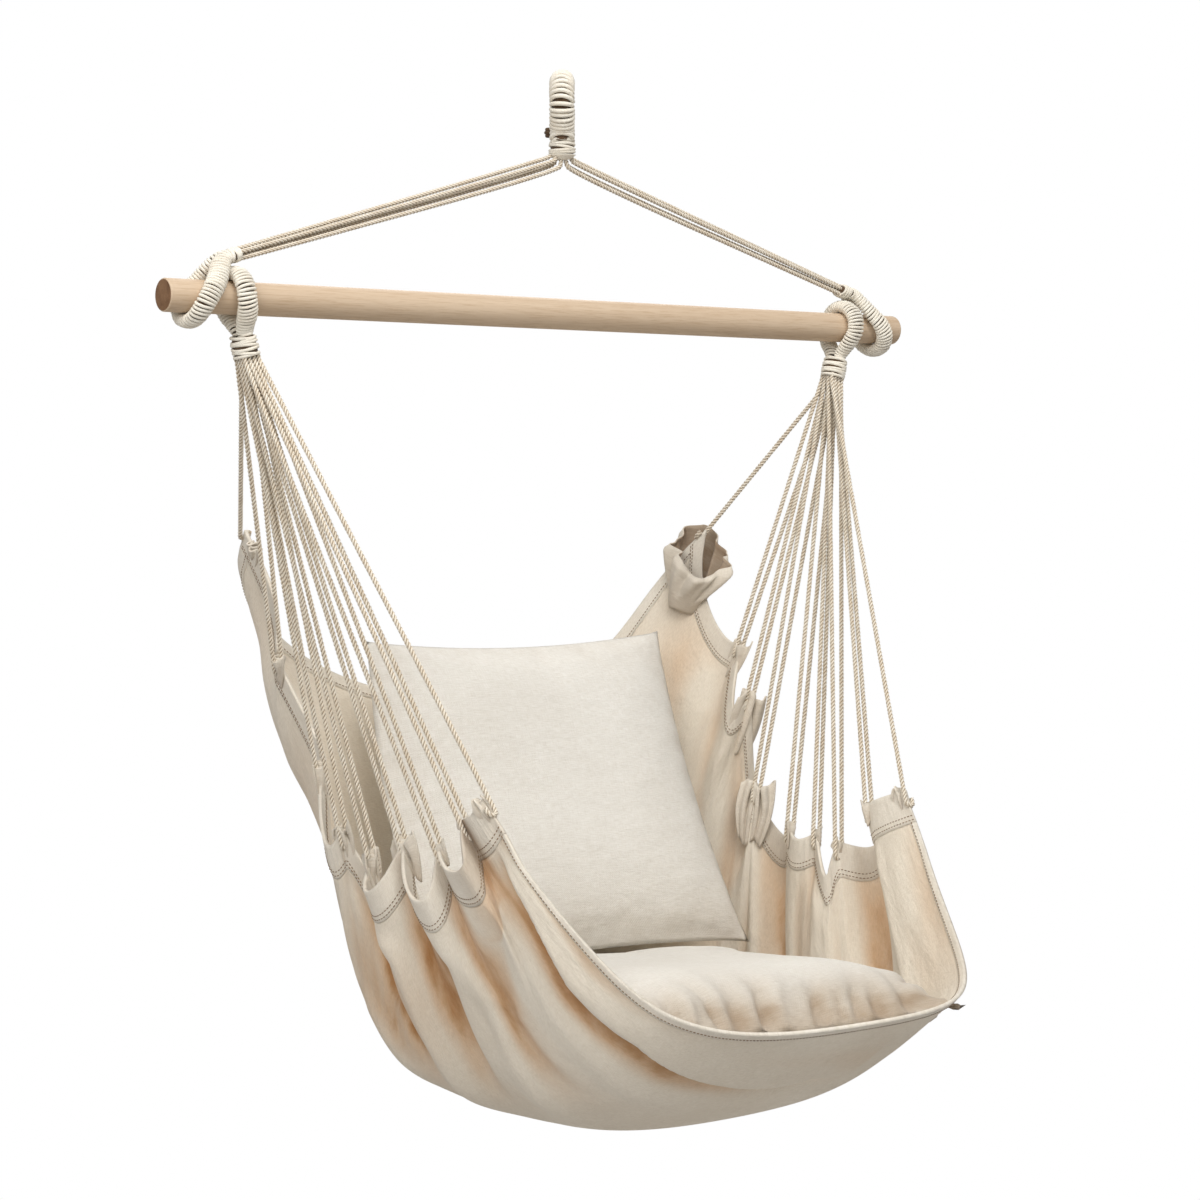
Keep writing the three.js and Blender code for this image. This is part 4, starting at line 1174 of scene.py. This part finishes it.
def dressCloth(thing, skin, flat, paintedGlowAndShadeAmounts):
    # the skin, the UV map in metres, and the painted glow and shade of each point, kept in the fold attribute
    thing.data.materials.append(skin)
    uv = thing.data.uv_layers.new(name="cloth")
    loops = np.array([loop.vertex_index for loop in thing.data.loops])
    uv.data.foreach_set("uv", flat[loops].ravel())
    layer = thing.data.attributes.new("fold", "FLOAT", "POINT")
    layer.data.foreach_set("value", paintedGlowAndShadeAmounts)


def addSheet(name, grid, normal, thickness, flat, paintedGlowAndShadeAmounts, skin):
    # a closed sheet round a grid of points
    both = [(grid + normal * thickness * share).reshape(-1, 3) for share in (0.5, -0.5)]
    thing = addMesh(name, np.vstack(both) + barLine, sheetFaces(*grid.shape[:2]))
    dressCloth(thing, skin, np.tile(flat.reshape(-1, 2), (2, 1)), paintedGlowAndShadeAmounts)
    return thing


def gridArea(grid):
    a, b = grid[:-1, :-1] - grid[1:, 1:], grid[:-1, 1:] - grid[1:, :-1]
    return float(np.linalg.norm(np.cross(a, b), axis=-1).sum() / 2)


# painted glow and painted shade of the folds, with painted shade on the left outer side and on a patch of the left
# hem: places are (middle, width), faces are (base, depth for full colour, most)
shading = {
    "span": 26, "glow": (0.24, 0.26), "frontGlow": (0.895, 0.035), "frontEnd": 0.15,
    "leftShade": (0.26, 0.16), "leftShadeStrength": 0.42, "leftFade": (0.54, 0.66),
    "hemPatch": (0.835, 0.04), "hemShadeStrength": 0.55, "hemShadeEnd": -0.88,
    "outer": (0.24, 0.0085, 0.6), "inner": (0.20, 0.011, 0.55), "rear": (0.22, 0.44), "most": 0.92,
}


def paintedFaceShade(below, face):
    # how much painted glow and shade a face takes from how deep its point lies
    base, full, most = shading[face]
    return base + np.clip(below / full, -0.3, most)


def paintedFoldGlowAndShade(height, across, station):
    # painted glow and shade for the outer face and for the inner one, from how far a point lies below its neighbours
    count, span = height.shape[0], shading["span"]
    if count < 2 * span:
        return np.zeros(2 * height.size)
    weights = np.hanning(2 * span + 1)
    padded = np.pad(height, ((span, span), (0, 0)), "edge")
    level = sum(w * padded[k:k + count] for k, w in enumerate(weights)) / weights.sum()
    inward = 1 - np.abs(across)
    frontGlow = near(station, shading["frontGlow"]) * (across < shading["frontEnd"])
    glow = np.maximum(near(inward, shading["glow"]), frontGlow)
    # painted shade on the left outer side, fading out towards the front, and on a patch of the left hem
    fadeFrom, fadeTo = shading["leftFade"]
    fade = np.clip((fadeTo - station) / (fadeTo - fadeFrom), 0, 1) * (across < 0)
    shaded = shading["leftShadeStrength"] * near(inward, shading["leftShade"]) * fade
    shadePatch = near(station, shading["hemPatch"]) * (across < shading["hemShadeEnd"])
    shaded = shaded + shading["hemShadeStrength"] * shadePatch
    outer = paintedFaceShade(level - height, "outer") * glow + shaded
    inner = paintedFaceShade(height - level, "inner") * glow
    fadeFrom, fadeTo = shading["rear"]
    rear = np.clip((station - fadeFrom) / (fadeTo - fadeFrom), 0.2, 1)
    both = np.r_[(outer * rear).ravel(), (inner * np.maximum(rear, 0.6)).ravel()]
    return np.clip(both, 0, shading["most"])


weave = {"columns": 150, "rowsPerGap": 34, "hemRows": 12, "flat": (0.80, 1.13), "panelFlat": (1.6, 1.15)}
hemShare = cloth["hem"] / (3 * cloth["hemPull"])
endShare = cloth["endHem"] / 1.131


def clothPiece(name, node, across, stations, layers, flatSize):
    # flatSize gives the flat width and length from the hanging area
    u, v = np.meshgrid(across, stations)
    grid, height = clothPlaces(u, v)
    flat = np.stack([u * weave["flat"][0], v * weave["flat"][1]], -1)
    skin = canvasSkin if name == "seatFabric" else hemSkin
    thickness = cloth["thickness"] * layers
    thing = addSheet(name, grid, clothNormals(u, v), thickness, flat, paintedFoldGlowAndShade(height, u, v), skin)
    declare(thing, "seat", "canvas", node)
    area = gridArea(grid)
    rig.sheet(thing, flat=flatSize(area), held="gathered", area=area)


def makeCloth():
    stations = np.linspace(0, 1, gapCount * weave["rowsPerGap"] + 1)
    inner = np.r_[endShare, stations[(stations > endShare) & (stations < 1 - endShare)], 1 - endShare]
    even = np.linspace(-1, 1, weave["columns"])
    across = (1 - hemShare) * (0.55 * np.sin(even * math.pi / 2) + 0.45 * even)
    clothPiece("seatFabric", "seat_fabric", across, inner, 1, lambda area: weave["panelFlat"])
    for name, side in sides.items():
        span = np.linspace(side, side * (1 - hemShare), weave["hemRows"])
        title = "sideHem" + name.capitalize()
        span = span[::-side]
        clothPiece(title, "side_hem_" + name, span, stations, 1.7, lambda area: (0.048, area / 0.046))
    for name, low, high in (("rear", 0, endShare), ("front", 1 - endShare, 1)):
        span = np.linspace(low, high, 5)
        clothPiece(name + "Hem", name + "_hem", across, span, 1.9, lambda area: (area / 0.0145, 0.015))


# Gathers: at each hole the hem is bunched into small loops round its cord
# width, fall, rise above the hole and number of loops at each hole, from the rear to the front
gathers = {
    "turn": 2.1, "curl": 0.002, "steps": 84, "rows": 14, "thickness": 0.0018,
    "endShift": {0: 0.018, gapCount: -0.02},
    -1: [(0.026, 0.026, 0.004, 2.5), (0.028, 0.036, 0.004, 3.5), (0.020, 0.050, 0.003, 2.5),
         (0.022, 0.032, 0.004, 3.0), (0.030, 0.034, 0.004, 3.5), (0.032, 0.045, 0.004, 3.5),
         (0.016, 0.018, 0.002, 2.0), (0.013, 0.015, 0.002, 2.0), (0.015, 0.022, 0.003, 2.0)],
    1: [None, (0.032, 0.055, 0.004, 3.5), (0.042, 0.080, 0.004, 2.5),
        (0.040, 0.070, 0.005, 4.5), (0.024, 0.024, 0.003, 2.5), (0.016, 0.016, 0.002, 2.0),
        (0.014, 0.016, 0.002, 2.0), (0.020, 0.020, 0.002, 2.0), (0.018, 0.020, 0.003, 2.0)],
}


def finishGather(name, grid, fall, hollowShade=None):
    rows, columns = grid.shape[:2]
    normal = unit(np.cross(np.gradient(grid, axis=1), np.gradient(grid, axis=0)))
    run = np.pad(np.linalg.norm(np.diff(grid, axis=1), axis=-1).cumsum(axis=1), ((0, 0), (1, 0)))
    flat = np.stack([run, np.repeat(np.arange(rows)[:, None] * 0.004, columns, 1)], -1)
    # painted shade, stronger towards the lower rows; a given hollow shade paints the first face evenly instead
    inner = np.repeat(np.linspace(0.1, 0.5, rows), columns)
    outer = inner if hollowShade is None else np.full(inner.size, hollowShade)
    thing = addSheet(name, grid, normal, gathers["thickness"], flat, np.r_[outer, inner], hemSkin)
    declare(thing, "seat", "canvas")
    area = gridArea(grid)
    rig.sheet(thing, flat=(area / fall, fall), held="gathered", area=area * 0.995)


def meander(turn, loops, phase, steps):
    # a winding line of even arc length, as gathered cloth makes seen from above, one unit wide
    share = np.linspace(0, 1, steps)
    calm = np.sin(math.pi * np.clip(share, 0.02, 0.98))**0.5
    heading = turn * np.sin(2 * math.pi * loops * share + phase) * calm
    x = np.r_[0, np.cumsum(np.cos(heading[:-1]))]
    y = np.r_[0, np.cumsum(np.sin(heading[:-1]))]
    return x / x[-1] - 0.5, (y - y.mean()) / x[-1]


def makeGather(name, side, index):
    width, fall, above, loops = gathers[side][index]
    station = index / gapCount
    deep = np.array([0.0, fall]) / (3 * cloth["hemPull"])
    shifted = np.clip(station + gathers["endShift"].get(index, 0), 0, 1)
    start, low = clothPoints(side * (1 - deep), np.full(2, shifted))
    before, after = clothPoints(np.array([side, side]), np.clip([station - 0.01, station + 0.01], 0, 1))
    down = unit(start - fanNeck(side))
    wide = after - before
    wide = unit(wide - down * (wide @ down))
    out = np.cross(wide, down)
    phase = rng.uniform(0, 6.28)
    rows = []
    for s in np.linspace(0, 1, gathers["rows"]):
        turn = gathers["turn"] * (1 - 0.45 * s) + 0.12 * math.sin(5 * s + phase)
        x, y = meander(turn, loops, phase, gathers["steps"])
        spread = width * (1 + 0.25 * math.sin(math.pi * s) - 0.3 * s)
        centre = mix(start, low, s) - down * above * (1 - s)
        ragged = above * (1 - s)**3 * (0.5 * np.sin(7 * x + phase) + 0.2 * np.sin(23 * x))
        flare = gathers["curl"] * (1 - s)**2
        point = centre + np.outer(x * spread, wide) + np.outer(y * spread + flare * np.sign(y), out)
        rows.append(point + np.outer(ragged + 0.004 * np.sin(3 * s + 9 * x), down))
    finishGather(name, np.array(rows), fall)


# the rear corner of the right hem: a bag mouth, bunched up round its cord
# the inside of the mouth takes an even, strong painted shade
mouth = {
    "radius": 0.040, "depth": 0.088, "tilt": 0.026, "ruffles": 7.0, "deep": 0.17, "above": -0.012,
    "steps": 190, "rows": 24, "lip": 0.007, "hollowShade": 0.85, "overlap": 1.03, "squash": 0.7,
    "stations": (0.012, 0.042), "seen": (-0.63, -0.775, 0.0), "neck": 0.38,
}


def makeMouth():
    deep = np.array([0.0, mouth["depth"]]) / (3 * cloth["hemPull"])
    start, low = clothPoints(1 - deep, np.array(mouth["stations"]))
    down = unit(low - start)
    seen = np.array(mouth["seen"])
    seen = unit(seen - down * (seen @ down))
    across = np.cross(seen, down)
    around = np.linspace(0, 2 * math.pi * mouth["overlap"], mouth["steps"])
    rows = []
    for s in np.linspace(0, 1, mouth["rows"]):
        ruffle = math.sin(math.pi * min(1, s + 0.25)) ** 0.5
        wave = 1 + mouth["deep"] * ruffle * np.sin(mouth["ruffles"] * around + 2.2 * s)
        wave = wave + 0.09 * ruffle * np.sin(12 * around + 5 * s) + 0.12 * np.sin(2 * around + 3 * s)
        size = mouth["radius"] * mix(mouth["neck"], 1, (1 - s)**0.8) - mouth["lip"] * near(s, (0, 0.07))
        rim = (mouth["tilt"] * np.cos(around) + 0.005 * np.sin(3 * around + 1)) * (1 - s)**1.5
        fall = mouth["depth"] * s - mouth["above"] * (1 - s) + rim
        ring = np.outer(np.cos(around) * mouth["squash"], seen) + np.outer(np.sin(around), across)
        rows.append(start + ring * (size * wave)[:, None] + np.outer(fall, down))
    finishGather("gatherCorner", np.array(rows), mouth["depth"], mouth["hollowShade"])


def makeGathers():
    for name, side in sides.items():
        for hole, shape in enumerate(gathers[side]):
            if shape:
                makeGather(f"gather{name.capitalize()}{hole + 1}", side, hole)
            else:
                makeMouth()


# Seams: lines of single stitches along the hems, on both faces
seam = {
    "pitch": 0.0042, "length": 0.0032, "thread": 0.0006, "fromEdge": 0.0040, "second": 0.0095, "steps": 700,
}


def stitchTree():
    inputs = {"Pitch": seam["pitch"], "Length": seam["length"], "Thread": seam["thread"]}
    tree, given = treeWith("seamStitches", {**inputs, "Material": threadWithSeamShadeSkin})
    even = evenPoints(tree, given["Geometry"], given["Pitch"])
    bead = addNode(tree, "GeometryNodeMeshUVSphere", {"Segments": 5, "Rings": 4, "Radius": 1.0})
    half = calc(tree, "DIVIDE", given["Length"], 2.0)
    size = addNode(tree, "ShaderNodeCombineXYZ", {"X": given["Thread"], "Y": given["Thread"], "Z": half})
    tangent = addNode(tree, "GeometryNodeInputTangent")
    align = addNode(tree, "FunctionNodeAlignRotationToVector", {"Vector": tangent.outputs[0]}, axis="Z")
    stitches = placedCopies(tree, even, bead.outputs["Mesh"], align.outputs[0], size.outputs[0])
    return endTree(tree, stitches, given)


def makeSeams():
    along = np.linspace(0.004, 0.996, seam["steps"])
    over = np.linspace(-1 + hemShare, 1 - hemShare, seam["steps"])
    lines = []

    def addRun(across, stations, lift):
        lines.append(clothPoints(across, stations) + clothNormals(across, stations) * lift + barLine)
    for face in (-1, 1):
        for inset in (seam["fromEdge"], seam["second"]):
            for side in (-1, 1):
                cross = side * (1 - (cloth["hem"] - inset) / (3 * cloth["hemPull"]))
                addRun(np.full_like(along, cross), along, face * (cloth["thickness"] * 0.85 + 0.0002))
        for end in (endShare * 0.78, 1 - endShare * 0.78):
            addRun(over, np.full_like(over, end), face * (cloth["thickness"] * 0.95 + 0.0002))
    thing = bakeTree(addCurve("seamPath", lines), stitchTree(), {"Pitch": seam["pitch"]}, "seamStitching")
    declare(thing, "seat", "canvas")


# Fan cords: each goes down outside the hem, through a hole and up inside it
fan = {"rows": 4, "pitch": 0.0054, "inset": 0.015, "radius": 0.0025, "clear": 0.0013}


def holeFrame(side, index):
    station = index / gapCount
    inset = side * (1 - fan["inset"] / (3 * cloth["hemPull"]))
    small = side / 1000
    point = clothPoints(inset, station)
    down = unit(clothPoints(inset - small, station) - clothPoints(inset + small, station))
    outward = np.array([side, 0, 0]) - down * (side * down[0])
    return point, down, unit(outward)


def bundlePlace(side, leg, outer):
    half = fan["rows"] // 2
    column = leg // half
    row = ((leg + (1 if column < half else 0)) % half) + (0 if outer else half)
    middle = (fan["rows"] - 1) / 2
    place = fanNeck(side) + neckAcross(side) * (middle - row) * fan["pitch"]
    return place + (0, (middle - column) * fan["pitch"], 0)


def fanRoute(side, index):
    point, down, outward = holeFrame(side, index)
    reach = cloth["thickness"] / 2 + fan["clear"] + fan["radius"]
    route = [point + (outward * math.cos(t) + down * math.sin(t)) * reach for t in np.linspace(0, math.pi, 9)]
    lead = neckAlong(side) * 0.005
    if index < gapCount:
        start = bundlePlace(side, index, True)
        before = [start - lead * 0.6, start, start + lead]
    else:
        before = [route[0] - down * 0.005]
    if index > 0:
        end = bundlePlace(side, index - 1, False)
        after = [end + lead, end, end - lead * 0.6]
    else:
        after = [route[-1] - down * 0.005]
    return np.array(before + route + after) + barLine


def makeFans():
    for name, side in sides.items():
        for index in range(gapCount + 1):
            title = f"fanCord{name.capitalize()}{index + 1}"
            twistedCord(title, fanRoute(side, index), fan["radius"], "seat", f"fan_cord_{name}_{index + 1}")


# Cushions
cushions = {
    "seat": {
        "node": "seat_cushion", "width": 0.428, "length": 0.430, "thickness": 0.102,
        "bend": 0.014, "dish": 0.020, "tilt": -3.2, "roll": 2.5, "crown": 5, "above": 0.42,
        "puckers": 15, "depth": 0.0125, "reach": 0.070, "seed": 3, "shade": 0.55,
        "scatter": 0.012, "leftBulge": 0.0, "give": (0.6, 0.6, 0.8),
    },
    "back": {
        "node": "back_cushion", "width": 0.440, "length": 0.388, "thickness": 0.100,
        "bend": 0.006, "dish": 0.004, "tilt": 64.5, "roll": 0.0, "crown": 4, "above": 0.0,
        "puckers": 12, "depth": 0.0016, "reach": 0.05, "seed": 8, "shade": 0.2,
        "scatter": 0.006, "leftBulge": 0.040, "give": (0.2, 0.15, 0.6),
    },
}
pillow = {"steps": 84, "drawIn": 0.012, "frames": 18, "cap": 0.006, "ease": 0.8}
coverSettings = {
    "quality": 6, "mass": 0.25, "tension_stiffness": 18, "compression_stiffness": 18, "shear_stiffness": 6,
    "bending_stiffness": 0.35, "use_pressure": True, "uniform_pressure_force": 4.0, "shrink_min": -0.035,
}


def pillowGrid(spec):
    # two faces that share one ring of points round the seam
    n = pillow["steps"]
    spread = np.linspace(-1, 1, n + 1)
    a, b = (values.ravel() for values in np.meshgrid(spread, spread))
    free = (np.abs(a) < 1 - 1e-9) & (np.abs(b) < 1 - 1e-9)
    crown = (1 - np.abs(a) ** spec["crown"]) * (1 - np.abs(b) ** spec["crown"]) * spec["thickness"] / 2
    x = a * (spec["width"] / 2 - pillow["drawIn"] * (1 - b * b))
    y = b * (spec["length"] / 2 - pillow["drawIn"] * (1 - a * a))
    x = x - spec["leftBulge"] * np.clip(-a, 0, 1)**2 * np.clip(1 - b * b, 0, 1) * (1 - 0.3 * b)
    base = spec["bend"] * b * b + spec["dish"] * a * a
    tops = np.stack([x, y, base + crown * (1 + spec["above"])], -1)
    lows = np.stack([x, y, base - crown * (1 - spec["above"])], -1)
    lower = np.arange(len(tops))
    lower[free] = len(tops) + np.arange(free.sum())
    faces = []
    for i in range(n):
        for j in range(n):
            p = i * (n + 1) + j
            corners = [p, p + 1, p + n + 2, p + n + 1]
            faces.append(corners)
            faces.append([lower[c] for c in reversed(corners)])
    flat = np.stack([a * spec["width"] / 2, b * spec["length"] / 2], -1)
    flat = np.vstack([flat, flat[free] + (0.013, 0.007)])
    upper = np.stack([a, b, np.ones(a.size)], -1)
    return np.vstack([tops, lows[free]]), faces, flat, np.vstack([upper, upper[free] * (1, 1, -1)])


def places(thing):
    return np.array([v.co for v in thing.data.vertices])


def moveTo(thing, points):
    thing.data.vertices.foreach_set("co", points.ravel())
    thing.data.update()


def inflate(thing, spec):
    # the pressure of the filling draws the seams in and puckers the cover along them
    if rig.quick():
        return
    first = places(thing)
    moveTo(thing, first * (1, 1, pillow["ease"]))
    cover = thing.modifiers.new("cover", "CLOTH")
    for name, value in coverSettings.items():
        setattr(cover.settings, name, value)
    cover.settings.effector_weights.gravity = 0
    cover.collision_settings.use_collision = False
    cover.point_cache.frame_start = 1
    cover.point_cache.frame_end = pillow["frames"]
    scene = bpy.context.scene
    for step in range(1, pillow["frames"] + 1):
        scene.frame_set(step)
    move = places(thing.evaluated_get(bpy.context.evaluated_depsgraph_get())) - first
    thing.modifiers.remove(cover)
    scene.frame_set(1)
    far = np.linalg.norm(move, axis=1, keepdims=True)
    moveTo(thing, first + move * np.minimum(1, pillow["cap"] / np.maximum(far, 1e-9)) * spec["give"])


creases = {
    "span": 0.92, "width": (0.0030, 0.0110), "widen": 0.12, "reach": (0.35, 1.0), "depth": (0.4, 1.0),
    "lean": 0.45, "seam": 0.004, "ridge": 0.5, "ridgeAt": (1.7, 1.1),
    "shade": 0.45, "edgeShade": 0.4, "edge": 0.030, "frontShade": 0.9, "front": 0.055, "darkest": 0.8,
}


def pucker(points, grid, spec):
    # short creases that start at the seam, each with its own place, width, length and depth, with painted shade in the
    # creases, along the seams and along the front edge
    dice = np.random.default_rng(spec["seed"])
    half = np.array([spec["width"], spec["length"]]) / 2
    lift = np.zeros(len(points))
    shade = np.zeros(len(points))
    for axis, end, face in ((axis, end, face) for axis in (0, 1) for end in (-1, 1) for face in (-1, 1)):
        inward = (1 - end * grid[:, axis]) * half[axis]
        along = grid[:, 1 - axis] * half[1 - axis]
        marks = np.linspace(-creases["span"], creases["span"], spec["puckers"]) * half[1 - axis]
        for mark in marks + dice.normal(0, spec["scatter"], len(marks)):
            wide = dice.uniform(*creases["width"])
            reach = dice.uniform(*creases["reach"]) * spec["reach"]
            deep = dice.uniform(*creases["depth"]) * spec["depth"]
            lean = dice.normal(0, creases["lean"])
            aside = (along - mark - lean * inward) / (wide + creases["widen"] * inward)
            fade = near(inward, (0, reach)) * (1 - np.exp(-inward / creases["seam"])) * (grid[:, 2] == face)
            crease = near(aside, (0, 1)) * fade
            lift += deep * (creases["ridge"] * near(aside, creases["ridgeAt"]) * fade - crease)
            shade += crease
    edge = np.minimum(*(1 - np.abs(grid[:, :2].T))) * half.min()
    front = (1 + grid[:, 1]) * half[1]
    shade = creases["shade"] * np.clip(shade, 0, 1)
    shade += creases["edgeShade"] * near(edge, (0, creases["edge"]))
    shade += creases["frontShade"] * near(front, (0, creases["front"]))
    return lift, np.clip(shade * spec["shade"], 0, creases["darkest"])


def makeCushion(name):
    spec = cushions[name]
    points, faces, flat, grid = pillowGrid(spec)
    thing = addMesh(name + "Cushion", points, faces)
    inflate(thing, spec)
    points = places(thing)
    width, length, _ = np.ptp(points, axis=0)
    crown = np.ptp(points[(np.abs(grid[:, :2]) < 0.3).all(axis=1), 2])
    points *= np.array([spec["width"] / width, spec["length"] / length, spec["thickness"] / crown])
    moveTo(thing, points)
    lift, shade = pucker(points, grid, spec)
    normals = np.array([v.normal for v in thing.data.vertices])
    tilt, roll = math.radians(spec["tilt"]), math.radians(spec["roll"])
    turn = Matrix.Rotation(roll, 3, "Y") @ Matrix.Rotation(tilt, 3, "X")
    points = (points + normals * lift[:, None]) @ np.array(turn).T
    # it lies where the CAD cushion's box is
    low, high = np.array(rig.box(spec["node"]))
    moveTo(thing, points + (low + high) / 2 - (points.min(axis=0) + points.max(axis=0)) / 2)
    dressCloth(thing, cushionSkin, flat, shade)
    declare(thing, f"loose_{name}_cushion", f"{name}_cushion_cover", spec["node"])
    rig.padded(thing, fill=0.7)


makeCamera()
makeLamps()
makeSurroundings()
makeBar()
print("bar made")
makeLoop()
makeLashing()
makeBridle()
makeEyes()
makeCollars()
print("ropes made")
makeFans()
print("fans made")
makeCloth()
print("cloth made")
makeSeams()
makeGathers()
print("seams and gathers made")
for cushionName in cushions:
    makeCushion(cushionName)
    print(cushionName, "cushion made")

visualBox = [list(corner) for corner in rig.bounds()]
with open("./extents.json", "w") as out:
    json.dump({"cad": cadBox, "visual": visualBox}, out)
bpy.context.scene.view_settings.view_transform = "Standard"
